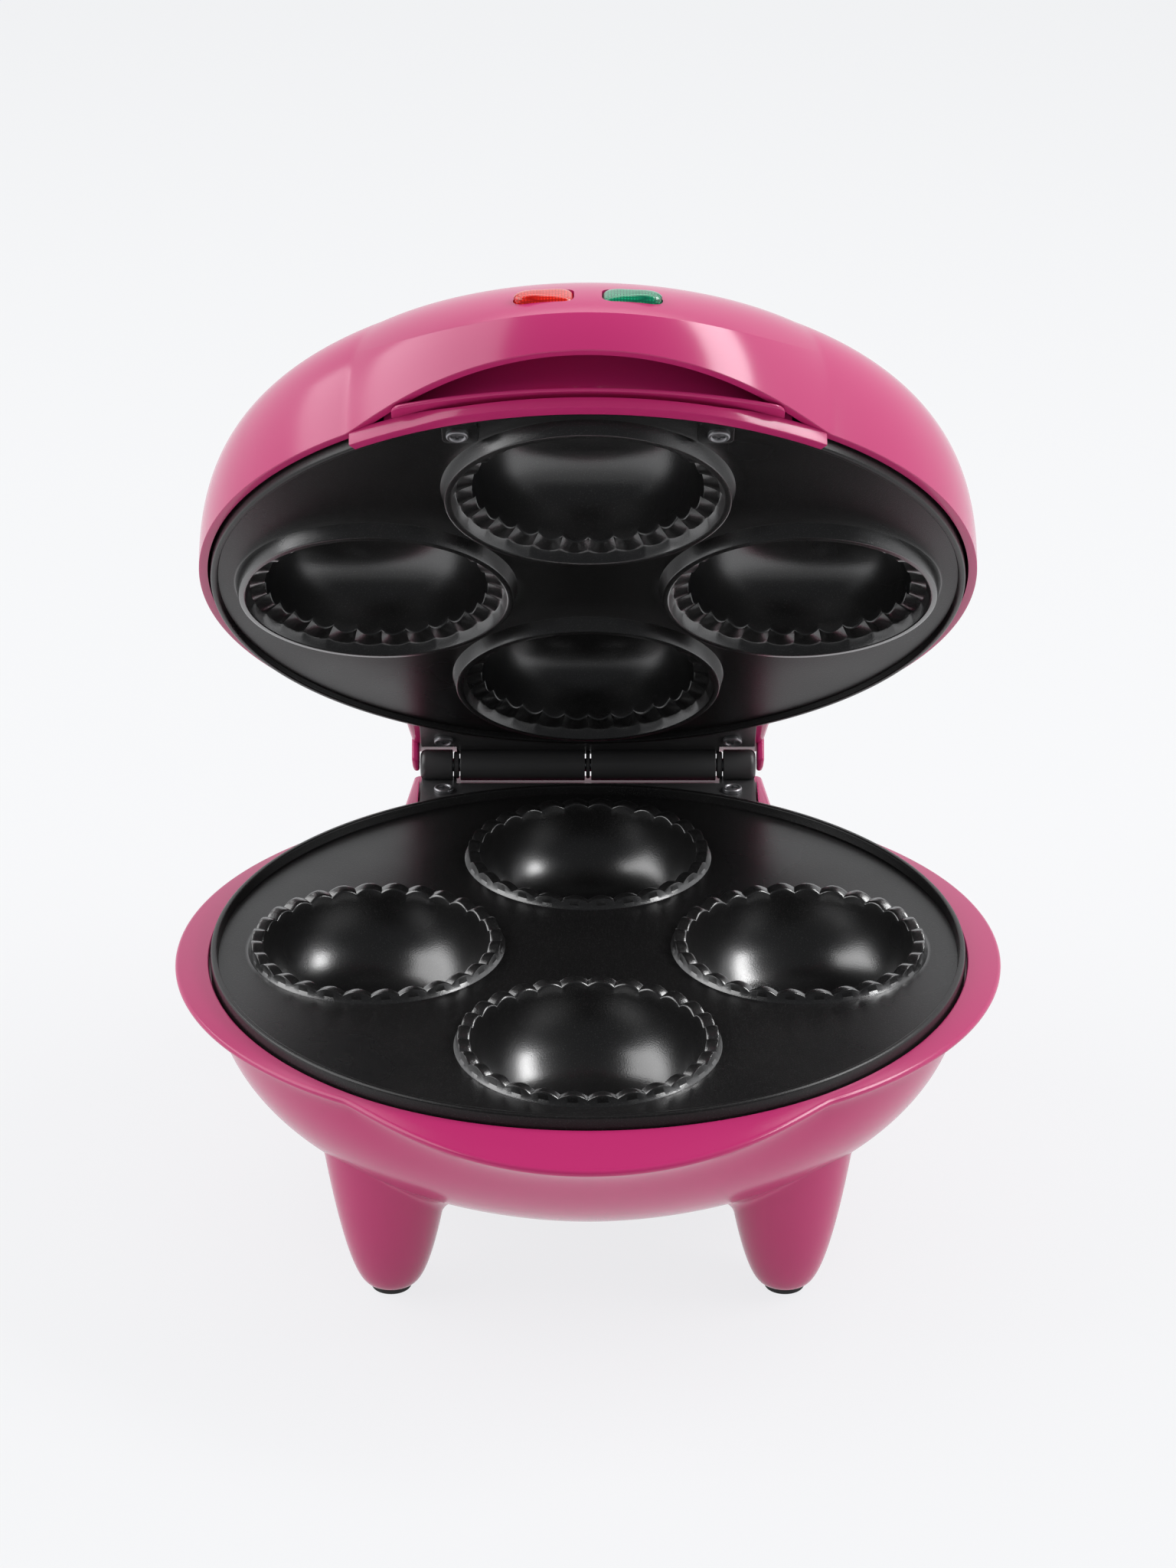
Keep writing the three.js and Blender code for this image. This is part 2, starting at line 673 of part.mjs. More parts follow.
// Tapered leg whose top spreads into the bowl all round; inset makes the smaller solid that hollows it.
function legBody(inset, sides) {
  const centre = legSpacing / 2;
  const radiusAt = (share) => legFootRadius + (legTopRadius - legFootRadius) * share ** legSwellShare - inset;
  const column = (angle, share) => {
    const reach = legTopRadius + legFillet;
    const x = centre + reach * Math.sin(angle);
    const y = centre - reach * Math.cos(angle);
    const top = bowlHeightAt(Math.hypot(x, y)) - legFillet / 2 + inset;
    const height = -legLength + inset + (top + legLength - inset) * share;
    return { radius: radiusAt(share), height, x, y };
  };
  const rings = legRowShares.map((share) => ring(sides, (angle) => {
    const { radius, height } = column(angle, share);
    return v3(centre + radius * Math.sin(angle), centre - radius * Math.cos(angle), height);
  }));
  const sunk = inset > 0 ? 2 * shellWall : shellWall / 2;
  const blend = ring(sides, (angle) => {
    const radius = legTopRadius + legFillet - inset;
    const x = centre + radius * Math.sin(angle);
    const y = centre - radius * Math.cos(angle);
    return v3(x, y, bowlHeightAt(Math.hypot(x, y)) + sunk);
  });
  return solid(skin([
    [v3(centre, centre, -legLength + inset)],
    ...rings,
    ...(inset > 0 ? [] : [blend]),
    [v3(centre, centre, bowlHeightAt(Math.hypot(centre, centre)) + sunk)],
  ]));
}

const atLegs = (body) => [0, 1, 2, 3].map((i) => body.rotate([0, 0, 90 * i]));

const lowerHousingFace = lowerBracketTop + bracketThickness + seatGap;
const upperHousingFace = upperBracketBottom + bracketThickness + seatGap;

function housingHalfWidth(y) {
  const share = (y - housingNear) / (housingBack - housingNear);
  return housingNearHalfWidth + (housingBackHalfWidth - housingNearHalfWidth) * share;
}

// Hinge housing between a face and a depth from the rim, narrower towards the back; side is -1 for the base
// and 1 for the lid, and inset makes the smaller solid that hollows it.
function housingBody(side, face, depth, inset) {
  const back = housingBack - inset;
  const high = depth - inset;
  const slope = (depth - face) * housingSlopeShare;
  const outline = [
    [housingNear, face + inset],
    [back, face + inset],
    [back, high],
    [back - slope / 2, high + slope],
    [housingNear, high + 2 * slope],
  ].map(([y, z]) => [y, side * z]);
  const width = housingNearHalfWidth - inset;
  const straight = sideProfile(outline, -width, width, inset > 0 ? 0 : housingRound);
  return straight.warp((point) => {
    point[0] *= housingHalfWidth(point[1]) / housingNearHalfWidth;
  });
}

function hingePosts(side, face, depth) {
  return bothSides((x) => post(screwPostRadius, ...(side < 0 ? [-face - depth, -face] : [face, face + depth]))
    .translate([x * hingeScrewX, hingeScrewY, 0]));
}

function hingeScrewHoles(side, face) {
  const reach = shortShank + seatGap;
  const span = side < 0 ? [-face - reach, 0] : [0, face + reach];
  return bothSides((x) => post(screwShankRadius + seatGap, ...span)
    .translate([x * hingeScrewX, hingeScrewY, 0]));
}

const wellAngles = [0, 1, 2, 3].map((i) => (turn * i) / 4);
const atWells = (body) => wellAngles.map((angle) => {
  const centre = around(wellCircleRadius, angle, 0);
  return body.translate([centre.x, centre.y, 0]);
});

function vents() {
  const slot = box(
    -ventWidth / 2, ventWidth / 2,
    ventInnerRadius, ventInnerRadius + ventLength,
    -bowlDepth - overrun, -bowlDepth + shellWall + overrun,
  );
  return Array.from({ length: ventCount }, (_, i) => slot.rotate([0, 0, (360 * (i + 1 / 2)) / ventCount]));
}

const glandHeight = -(lowerHousingFace + lowerHousingDepth / 2);

function baseShell() {
  const depth = lowerHousingFace + lowerHousingDepth;
  const housing = housingBody(-1, lowerBracketTop, depth, 0);
  const hollow = housingBody(-1, lowerHousingFace, depth, shellWall);
  const outer = joined(baseOuter(), housing, ...atLegs(legBody(0, legSides)));
  const inner = joined(baseInner(), hollow, ...atLegs(legBody(shellWall, legSides / 2)));
  const posts = atWells(post(postRadius, -bowlDepth, -lowerReflectorDepth - reflectorWall - seatGap));
  const screwPosts = hingePosts(-1, lowerHousingFace, lowerHousingDepth / 2 + shellWall);
  const wells = atWells(post(wellRadius, -legLength, wellFloor));
  const holes = atWells(post(screwShankRadius + seatGap, -bowlDepth, -lowerReflectorDepth + overrun));
  const bracketClearance = box(
    -hingeRoom, hingeRoom,
    plateRadius / 2, housingBack + overrun,
    -lowerHousingFace, overrun,
  );
  const lidClearance = box(
    -housingNearHalfWidth, housingNearHalfWidth,
    hingeY - cheekBack, housingBack + overrun,
    -lowerHousingFace, overrun,
  );
  const gland = post(glandNeckRadius + seatGap, -overrun - shellWall, overrun + shellWall, 2 * roundSides)
    .rotate([90, 0, 0]).translate([glandX, housingBack, glandHeight]);
  const feet = atLegs(post(footPlugRadius + seatGap, -legLength - overrun, -legLength + footPlugHeight)
    .translate([legSpacing / 2, legSpacing / 2, 0]));
  const shell = cut(outer, inner);
  const filled = joined(shell, ...[...posts, ...screwPosts].map((p) => p.intersect(outer)));
  return cut(filled, ...wells, ...holes, ...hingeScrewHoles(-1, lowerHousingFace), ...vents(),
    bracketClearance, lidClearance, gland, ...feet);
}

// Lid shell: dome with the handle hood at the front
const domeCurve = profileCurve(
  [lidRadius, lidEdgeHeight],
  scaled(domeControlShares, lidRadius, lidHeight),
  [0, lidHeight],
);

const browSwell = (angle) => frontSwell(angle, browHalfAngle);

function lidEdge(angle) {
  return lidEdgeHeight + browArchRise * browSwell(angle);
}

function browCrease(angle) {
  const away = Math.abs(Math.atan2(Math.sin(angle), Math.cos(angle)));
  const share = Math.min(1, away / (browHalfAngle * degree));
  return browCreaseHeight + browCreaseRise * share ** 3;
}

// Point of the lid's skin, inset from the outside: the hood is full up to the crease and fades above it.
function lidPoint(angle, share, inset) {
  const crease = shareAtHeight(domeCurve, browCrease(angle));
  const p = inset > 0 ? insetPoint(domeCurve, share, inset) : domeCurve.getPoint(share);
  const past = Math.max(0, (share - crease) / browFadeShare);
  const fade = Math.max(0, 1 - past) ** browFadePowerShare;
  return around(p.x + browReach * browSwell(angle) * fade, angle, p.y);
}

function lidRows(shares, inset) {
  const below = inset > 0 ? overrun : 0;
  const sunkShare = inset > 0 ? creaseInsetShare : 0;
  const start = (angle) => shareAtHeight(domeCurve, lidEdge(angle) - below);
  const crease = (angle) => shareAtHeight(domeCurve, browCrease(angle)) - sunkShare;
  const hood = browRowShares.map((part) => ring(shellColumns, (a) => {
    const share = start(a) + (crease(a) - start(a)) * part;
    return lidPoint(a, share, inset);
  }));
  const dome = shares.map((part) => ring(shellColumns, (a) => {
    const share = crease(a) + (1 - crease(a)) * part;
    return lidPoint(a, share, inset);
  }));
  return [...hood, ...dome];
}

function lidOuter() {
  const rows = lidRows(domeRowShares, 0);
  return solid(skin([[v3(0, 0, lidEdgeHeight)], ...rows, [v3(0, 0, lidHeight)]]));
}

function lidInner() {
  const rows = lidRows(domeInnerRowShares, shellWall);
  const bottom = rows[0].map((p) => v3(p.x, p.y, -overrun));
  return solid(skin([[v3(0, 0, -overrun)], bottom, ...rows, [v3(0, 0, lidHeight - shellWall)]]));
}

// Local frame of a lamp on the slope above the hood's crease.
function lampFrame(side) {
  const angle = Math.atan2(side * lampSpacing / 2, lampY);
  const crease = shareAtHeight(domeCurve, browCrease(angle));
  const share = lastShare(crease, (part) => -lidPoint(angle, part, 0).y > lampY);
  const p = lidPoint(angle, share, 0);
  const above = lidPoint(angle, share + lampStepShare, 0);
  const ahead = lidPoint(angle, share - lampStepShare, 0).sub(above).normalize();
  const across = v3(1, 0, 0);
  const normal = v3(0, 0, 0).crossVectors(across, ahead.clone().negate()).normalize();
  const up = v3(0, 0, 0).crossVectors(normal, across).normalize();
  const matrix = new THREE.Matrix4().makeBasis(across, up, normal);
  return matrix.setPosition(side * lampSpacing / 2, p.y, p.z);
}

// Tapered oval of a lamp, narrow end away from the middle; grow widens it all round.
function lampOutline(side, grow) {
  const half = lampLength / 2 + grow;
  const wide = lampWidth / 2 + grow;
  const narrow = lampNarrowWidth / 2 + grow;
  const corners = [v2(-half, -wide), v2(half, -narrow), v2(half, narrow), v2(-half, wide)];
  corners.forEach((corner) => corner.setX(corner.x * side));
  const points = corners.flatMap((corner, i) => {
    const before = corners.at(i - 1).clone().sub(corner).setLength(lampRound).add(corner);
    const after = corners[(i + 1) % corners.length].clone().sub(corner).setLength(lampRound).add(corner);
    return new THREE.QuadraticBezierCurve(before, corner, after).getPoints(cornerSteps);
  });
  return side > 0 ? points : points.reverse();
}

function lampPrism(side, grow, low, high) {
  const shape = new THREE.Shape(lampOutline(side, grow));
  const geometry = new THREE.ExtrudeGeometry(shape, { depth: high - low, bevelEnabled: false });
  return solid(geometry.translate(0, 0, low).applyMatrix4(lampFrame(side)));
}

function lens(side) {
  const outline = lampOutline(side, 0);
  const level = (shrink, height) => outline.map((p) => v3(p.x * shrink, p.y * shrink, height));
  const crown = skin([
    [v3(0, 0, -lampHeight)],
    level(1, -lampHeight),
    ...lensRowShares.map(([shrink, rise]) => level(shrink, lampDome * rise)),
    [v3(0, 0, lampDome)],
  ]);
  const room = new THREE.BoxGeometry(neonLength + 2 * seatGap, 2 * (neonRadius + seatGap), lampHeight);
  room.translate(0, 0, -(lampHeight + neonRadius) / 2);
  return cut(...[crown, room].map((geometry) => solid(geometry.applyMatrix4(lampFrame(side)))));
}

function neon(side) {
  const capsule = new THREE.CapsuleGeometry(neonRadius, neonLength - 2 * neonRadius, capSteps, smallSides);
  const depth = -(neonRadius / 2 + neonRadius + seatGap);
  return solid(capsule.rotateZ(Math.PI / 2).translate(0, 0, depth).applyMatrix4(lampFrame(side)));
}

// Ribs inside the lid that the upper plate's skirt seats against.
function plateRibs() {
  const low = upperRim + upperSkirtHeight + seatGap;
  const rib = box(
    -seatRibWidth / 2, seatRibWidth / 2,
    -(lidRadius - shellWall / 2), -(plateRadius - plateLipWidth),
    low, low + seatRibHeight,
  );
  const rear = Math.PI - Math.asin((housingNearHalfWidth + seatRibGap) / plateRadius);
  const angles = [...seatRibTurnShares.map((share) => turn * share), rear];
  return angles.flatMap((angle) => bothSides((side) => rib.rotate([0, 0, (side * angle) / degree])));
}

// Cheek beside each end of the hinge barrel, its outside in line with the hinge housing's.
function cheeks() {
  const r = barrelRadius;
  const top = upperHousingFace + shellWall;
  const outline = [
    [hingeY - r, top],
    [hingeY - r + cheekTip / 2, hingeZ],
    [hingeY - cheekTip, hingeZ - cheekTip],
    [hingeY + cheekTip, hingeZ - cheekTip],
    [hingeY + r - cheekTip, hingeZ + cheekTip],
    [housingBack, upperHousingFace],
    [housingBack, top],
  ];
  const front = hingeY - barrelRadius - overrun;
  const plan = (side) => slab([
    [side * hingeRoom, front],
    [side * housingHalfWidth(front), front],
    [side * housingBackHalfWidth, housingBack],
    [side * hingeRoom, housingBack],
  ], -overrun, top);
  const whole = sideProfile(outline, -housingNearHalfWidth, housingNearHalfWidth);
  return bothSides((side) => whole.intersect(plan(side)));
}

function lidShell() {
  const depth = upperHousingFace + upperHousingDepth;
  const housing = housingBody(1, upperHousingFace, depth, 0);
  const hollow = housingBody(1, upperHousingFace, depth, shellWall);
  const outer = joined(lidOuter(), housing);
  const inner = joined(lidInner(), hollow);
  const postFoot = upperFlat + plateThickness + seatGap;
  const platePosts = bothSides((side) => post(screwPostRadius, postFoot, lidHeight)
    .translate([side * padScrewX, -padScrewY, 0]));
  const screwPosts = hingePosts(1, upperHousingFace, shortShank + shellWall);
  const fill = [...platePosts, ...screwPosts, ...plateRibs()].map((p) => p.intersect(outer));
  const shell = joined(cut(outer, inner), ...fill, ...cheeks());
  const bracketClearance = box(
    -hingeRoom, hingeRoom,
    plateRadius / 2, housingBack + overrun,
    0, upperHousingFace,
  );
  const padHoles = bothSides((side) => post(screwShankRadius + seatGap, 0, postFoot + longShank)
    .translate([side * padScrewX, -padScrewY, 0]));
  const lampHoles = bothSides((side) => lampPrism(side, seatGap, -2 * lampHeight, lampHeight));
  const plateRoom = turned([
    [0, 0],
    [plateRadius + seatGap, 0],
    [plateRadius + seatGap, upperRim + upperSkirtHeight + seatGap],
    [0, upperRim + upperSkirtHeight + seatGap],
  ], plateColumns);
  const room = cut(plateRoom, ...platePosts);
  const hingeHoles = hingeScrewHoles(1, upperHousingFace);
  return cut(shell, room, bracketClearance, ...padHoles, ...hingeHoles, ...lampHoles);
}

// Crescent behind the finger pocket: a band that closes the front, a wall up to the hood and a grip rib.
function handleLiner() {
  const inner = plateRadius + seatGap;
  const wall = inner + linerWallThickness;
  const band = inner + linerBandThickness;
  const steps = shellColumns / 2;
  const half = linerHalfAngle * degree;
  const sections = Array.from({ length: steps + 1 }, (_, i) => -half + (2 * half * i) / steps);
  const roofAt = (angle) => {
    const clear = (share) => {
      const p = lidPoint(angle, share, shellWall);
      return Math.hypot(p.x, p.y) > wall + linerRoofGap;
    };
    return lidPoint(angle, clear(0) ? lastShare(0, clear) : 0, shellWall).z;
  };
  const rows = sections.map((angle) => {
    const height = Math.max(linerBandTop, Math.min(linerWallTop, roofAt(angle) - seatGap));
    return [
      around(inner, angle, -linerDrop),
      around(band - seatGap, angle, -linerDrop),
      around(band, angle, -linerDrop + seatGap),
      around(band, angle, linerBandTop - seatGap),
      around(wall, angle, linerBandTop),
      around(wall, angle, height),
      around(inner, angle, height + seatGap),
    ];
  });
  const mean = (points) => points.reduce((s, p) => s.add(p), v3(0, 0, 0)).divideScalar(points.length);
  const crescent = solid(skin([[mean(rows[0])], ...rows, [mean(rows.at(-1))]]));
  const centreY = gripRibCurve - gripRibReach;
  const edge = Array.from({ length: gripRibSteps + 1 }, (_, i) => {
    const x = -gripRibHalfWidth + (2 * gripRibHalfWidth * i) / gripRibSteps;
    const end = 1 - Math.min(1, (gripRibHalfWidth - Math.abs(x)) / gripRibEndRound);
    return [x, centreY - Math.sqrt(gripRibCurve ** 2 - x ** 2) + end * gripRibThickness];
  });
  const rear = plateArc(inner + linerWallThickness / 2, gripRibHalfWidth).map(([x, y]) => [x, -y]);
  const rib = slab([...edge, ...rear], gripRibHeight, gripRibHeight + gripRibThickness);
  return joined(crescent, rib);
}

// Arc round the plates at the back, from +X to -X, as [x, y] points.
function plateArc(radius, halfWidth) {
  return Array.from({ length: plateArcSteps + 1 }, (_, i) => {
    const x = halfWidth * (1 - (2 * i) / plateArcSteps);
    return [x, Math.sqrt(radius ** 2 - x ** 2)];
  });
}

// Hinge: brackets with rolled barrels on one pin
function bracketPlan(side) {
  const far = hingeY;
  const clear = hingeY - barrelRadius - 2 * seatGap;
  const inside = barrelHalfLength - knuckleLength - knuckleGap / 2;
  const [middle, ends] = side < 0 ? [clear, far] : [far, clear];
  return [
    ...plateArc(plateRadius + seatGap, bracketHalfWidth),
    [-bracketHalfWidth, ends], [-inside, ends], [-inside, middle],
    [inside, middle], [inside, ends], [bracketHalfWidth, ends],
  ];
}

function barrel(radius, x0, x1, sides = barrelSides) {
  return post(radius, x0, x1, sides).rotate([0, 90, 0]).translate([0, hingeY, hingeZ]);
}

function bracketHoles(low, high) {
  return bothSides((side) => post(screwShankRadius + seatGap, low, high)
    .translate([side * hingeScrewX, hingeScrewY, 0]));
}

function lowerBracket() {
  const tab = slab(bracketPlan(-1), -lowerBracketTop - bracketThickness, -lowerBracketTop);
  const knuckle = turned([
    [0, barrelHalfLength - knuckleLength],
    [barrelRadius, barrelHalfLength - knuckleLength],
    [barrelRadius, barrelHalfLength - knuckleRound],
    [barrelRadius - knuckleRound / 2, barrelHalfLength - knuckleRound / 4],
    [barrelRadius - knuckleRound, barrelHalfLength],
    [0, barrelHalfLength],
  ], barrelSides);
  const knuckles = bothSides((side) => knuckle.rotate([0, 90 * side, 0]).translate([0, hingeY, hingeZ]));
  const half = barrelHalfLength - knuckleRound;
  const bore = barrel(pinRadius + seatGap, -half, half, roundSides);
  return cut(joined(tab, ...knuckles), bore, ...bracketHoles(-lowerHousingFace - overrun, 0));
}

function upperBracket() {
  const tab = slab(bracketPlan(1), upperBracketBottom, upperBracketBottom + bracketThickness);
  const outer = barrelHalfLength - knuckleLength - knuckleGap;
  const barrels = [barrel(barrelRadius, middleGap / 2, outer), barrel(barrelRadius, -outer, -middleGap / 2)];
  const bore = barrel(pinRadius + seatGap, -barrelHalfLength, barrelHalfLength, roundSides);
  return cut(joined(tab, ...barrels), bore, ...bracketHoles(0, upperHousingFace + overrun));
}

function hingePin() {
  const half = barrelHalfLength - knuckleRound - seatGap;
  return barrel(pinRadius, -half, half, roundSides);
}

// Pan-head cross screw with its head up and the underside of the head at z = 0.
function screw(shank) {
  const head = turned([
    [0, -shank],
    [screwShankRadius, -shank],
    [screwShankRadius, 0],
    [screwHeadRadius, 0],
    [screwHeadRadius, screwHeadHeight / 2],
    [screwHeadRadius * screwCrownShare, screwHeadHeight],
    [0, screwHeadHeight],
  ], smallSides);
  const slot = box(
    -screwSlotLength / 2, screwSlotLength / 2,
    -screwSlotWidth / 2, screwSlotWidth / 2,
    screwHeadHeight - screwSlotDepth, screwHeadHeight + overrun,
  );
  return cut(head, slot, slot.rotate([0, 0, 90]));
}

const upright = (body, x, y, z) => body.translate([x, y, z]);
const inverted = (body, x, y, z) => body.rotate([180, 0, 0]).translate([x, y, z]);

// Heating element: a steel tube bent round under the cups, with a connection pin at each end.
class Arc extends THREE.Curve {
  constructor(radius, start, end, height) {
    super();
    Object.assign(this, { radius, start, end, height });
  }

  getPoint(share, target = v3(0, 0, 0)) {
    return target.copy(around(this.radius, this.start + (this.end - this.start) * share, this.height));
  }
}

function heater(side, gapAngle, back) {
  const height = back + side * (heaterTubeRadius + seatGap);
  const half = (heaterGapDegrees * degree) / 2;
  const start = gapAngle + half;
  const end = gapAngle + turn - half;
  const section = new THREE.Shape(ring(tubeSides, (a) => v2(0, heaterTubeRadius).rotateAround(v2(0, 0), a)));
  const path = new Arc(heaterRadius, start, end, height);
  const options = { steps: heaterSteps, bevelEnabled: false, extrudePath: path };
  const tube = solid(new THREE.ExtrudeGeometry(section, options));
  const span = side < 0 ? [height - terminalPinLength, height] : [height, height + terminalPinLength];
  return joined(tube, ...atPins(gapAngle, post(terminalPinRadius, ...span, tubeSides)));
}

// Places of the two connection pins, just inside the ends of a heating element.
function atPins(gapAngle, body) {
  const away = (heaterGapDegrees * degree) / 2 + heaterTubeRadius / heaterRadius;
  return bothSides((side) => {
    const p = around(heaterRadius, gapAngle + side * away, 0);
    return body.translate([p.x, p.y, 0]);
  });
}

// Thin dish between the heater and the housing.
function reflectorDish(side, flat, depth, floorRadius, holes) {
  const rim = plateRadius - reflectorInset;
  const heaterFace = Math.abs(flat) + plateThickness + seatGap + 2 * heaterTubeRadius;
  const outer = [
    [rim, heaterFace + heaterAir],
    [rim - reflectorRimWidth, heaterFace + heaterAir + reflectorRimHeight],
    [floorRadius, depth],
    [0, depth],
  ].map(([r, z]) => [r, side * z]);
  const inner = outer.toReversed().map(([r, z]) => [r, z - side * reflectorWall]);
  return cut(turned([...inner, ...outer], shellColumns / 2), ...holes);
}

function pinHoles(gapAngle) {
  const reach = upperReflectorDepth + lowerReflectorDepth;
  return atPins(gapAngle, post(2 * terminalPinRadius, -reach, reach, smallSides));
}

function lowerReflector() {
  const hole = post(screwShankRadius + seatGap, -lowerReflectorDepth - overrun, 0);
  const holes = [...atWells(hole), hole, ...pinHoles(Math.PI)];
  const share = lastShare(0, (part) => bowlCurve.getPoint(part).y > -lowerReflectorDepth);
  const floorRadius = bowlCurve.getPoint(share).x - shellWall - reflectorSideGap;
  return reflectorDish(-1, lowerFlat, lowerReflectorDepth, floorRadius, holes);
}

function upperReflector() {
  const posts = bothSides((side) => post(screwPostRadius + 2 * seatGap, 0, lidHeight)
    .translate([side * padScrewX, -padScrewY, 0]));
  const middle = post(screwShankRadius + seatGap, 0, upperReflectorDepth + overrun);
  const holes = [...posts, middle, ...pinHoles(0)];
  const floorRadius = plateRadius - reflectorInset - reflectorRimWidth - reflectorSlopeWidth;
  return reflectorDish(1, upperFlat, upperReflectorDepth, floorRadius, holes);
}

function thermostat() {
  const top = lowerFlat - plateThickness - seatGap;
  const bottom = top - thermostatHeight;
  const body = post(thermostatRadius, bottom, top, barrelSides);
  const blade = box(
    -thermostatBladeThickness / 2, thermostatBladeThickness / 2,
    -thermostatBladeWidth / 2, thermostatBladeWidth / 2,
    bottom - thermostatBladeLength, bottom + seatGap,
  );
  const blades = bothSides((side) => blade.translate([side * thermostatRadius / 2, 0, 0]));
  const p = around(thermostatRingRadius, (3 * turn) / 8, 0);
  return joined(body, ...blades).translate([p.x, p.y, 0]);
}

function thermalFuse() {
  const top = lowerFlat - plateThickness - seatGap;
  const p = around(thermostatRingRadius, (-3 * turn) / 8, 0);
  return post(fuseRadius, -fuseLength / 2, fuseLength / 2, smallSides).rotate([0, 90, 0])
    .translate([p.x, p.y, top - fuseRadius]);
}

function terminalBlock() {
  const floor = -bowlDepth + shellWall + seatGap;
  const body = box(
    -blockLength / 2, blockLength / 2,
    blockY - blockDepth / 2, blockY + blockDepth / 2,
    floor, floor + blockHeight,
  );
  const pitch = blockLength / blockBoreCount;
  const bore = post(blockBoreRadius, -blockDepth, blockDepth, smallSides).rotate([90, 0, 0]);
  const bores = Array.from({ length: blockBoreCount }, (_, i) => bore
    .translate([(i + 1 / 2) * pitch - blockLength / 2, blockY, floor + blockHeight / 2]));
  return cut(body, ...bores);
}

// Bush in the hinge housing's back face, where the mains lead would enter.
function cordGland() {
  const face = seatGap;
  return turned([
    [glandBore, -shellWall - 2 * seatGap],
    [glandNeckRadius, -shellWall - 2 * seatGap],
    [glandNeckRadius, face],
    [glandFlangeRadius, face],
    [glandFlangeRadius, face + glandFlangeThickness / 2],
    [glandFlangeRadius - glandFlangeThickness / 2, face + glandFlangeThickness],
    [glandBore, face + glandFlangeThickness],
  ], barrelSides).rotate([-90, 0, 0]).translate([glandX, housingBack, glandHeight]);
}

function footPad() {
  const low = -legLength - footPadHeight;
  const round = footPadHeight / 4;
  return turned([
    [0, low],
    [footPadRadius - round, low],
    [footPadRadius, low + round],
    [footPadRadius, -legLength - seatGap],
    [footPlugRadius, -legLength - seatGap],
    [footPlugRadius, -legLength + footPlugHeight - seatGap],
    [0, -legLength + footPlugHeight - seatGap],
  ], legSides).translate([legSpacing / 2, legSpacing / 2, 0]);
}

// Assembly
const base = new THREE.Group();
const lid = new THREE.Group();
const lidPivot = new THREE.Group();

function add(group, name, body, finish) {
  const mesh = new THREE.Mesh(geometryOf(body), new THREE.MeshStandardMaterial(finish));
  mesh.name = name;
  group.add(mesh);
}

add(base, "base_shell", baseShell(), magenta);
add(base, "lower_plate", lowerPlate(), nonStick);
add(base, "lower_heating_element", heater(-1, Math.PI, lowerFlat - plateThickness), brightSteel);
add(base, "lower_reflector", lowerReflector(), aluminium);
const lowerDishFace = -lowerReflectorDepth - seatGap;
add(base, "lower_reflector_screw", inverted(screw(reflectorShank), 0, 0, lowerDishFace), brightSteel);
add(base, "thermostat", thermostat(), ceramic);
add(base, "thermal_fuse", thermalFuse(), brightSteel);
add(base, "terminal_block", terminalBlock(), ceramic);
add(base, "cord_gland", cordGland(), rubber);
add(base, "lower_hinge_bracket", lowerBracket(), blackSteel);
add(base, "hinge_pin", hingePin(), brightSteel);
["rear_right", "rear_left", "front_left", "front_right"].forEach((place, i) => {
  add(base, `foot_pad_${place}`, atLegs(footPad())[i], rubber);
});
["front", "right", "rear", "left"].forEach((place, i) => {
  const centre = around(wellCircleRadius, wellAngles[i], 0);
  const placed = inverted(screw(longShank), centre.x, centre.y, wellFloor - seatGap);
  add(base, `base_screw_${place}`, placed, brightSteel);
});

add(lid, "lid_shell", lidShell(), magenta);
add(lid, "handle_liner", handleLiner(), magenta);
add(lid, "upper_plate", upperPlate(), nonStick);
add(lid, "upper_heating_element", heater(1, 0, upperFlat + plateThickness), brightSteel);
add(lid, "upper_reflector", upperReflector(), aluminium);
const upperDishFace = upperReflectorDepth + seatGap;
add(lid, "upper_reflector_screw", upright(screw(reflectorShank), 0, 0, upperDishFace), brightSteel);
add(lid, "upper_hinge_bracket", upperBracket(), blackSteel);

bothSides((side) => {
  const place = side < 0 ? "left" : "right";
  const lower = upright(screw(shortShank), side * hingeScrewX, hingeScrewY, -lowerBracketTop + seatGap);
  const upper = inverted(screw(shortShank), side * hingeScrewX, hingeScrewY, upperBracketBottom - seatGap);
  const pad = inverted(screw(longShank), side * padScrewX, -padScrewY, upperFlat - padHeight - seatGap);
  add(base, `lower_hinge_screw_${place}`, lower, blackSteel);
  add(lid, `upper_hinge_screw_${place}`, upper, blackSteel);
  add(lid, `upper_plate_screw_${place}`, pad, blackSteel);
});
add(lid, "power_lamp_lens", lens(-1), redLens);
add(lid, "ready_lamp_lens", lens(1), greenLens);
add(lid, "power_lamp_neon", neon(-1), clearGlass);
add(lid, "ready_lamp_neon", neon(1), clearGlass);

// The lid turns about the hinge axis; everything stands on the table, centred on its outline.
lid.position.set(0, -hingeY, -hingeZ);
lidPivot.position.set(0, hingeY, hingeZ);
lidPivot.rotation.x = -lidOpenDegrees * degree;
lidPivot.add(lid);

const cupcakeMaker = new THREE.Group();
const body = new THREE.Group();
body.add(base, lidPivot);
cupcakeMaker.add(body);
cupcakeMaker.updateMatrixWorld(true);
const outline = new THREE.Box3().setFromObject(cupcakeMaker, true);
body.position.set(0, -(outline.min.y + outline.max.y) / 2, -outline.min.z);

export default cupcakeMaker;
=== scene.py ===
import json

import bmesh
import bpy
import numpy as np
from mathutils import Matrix


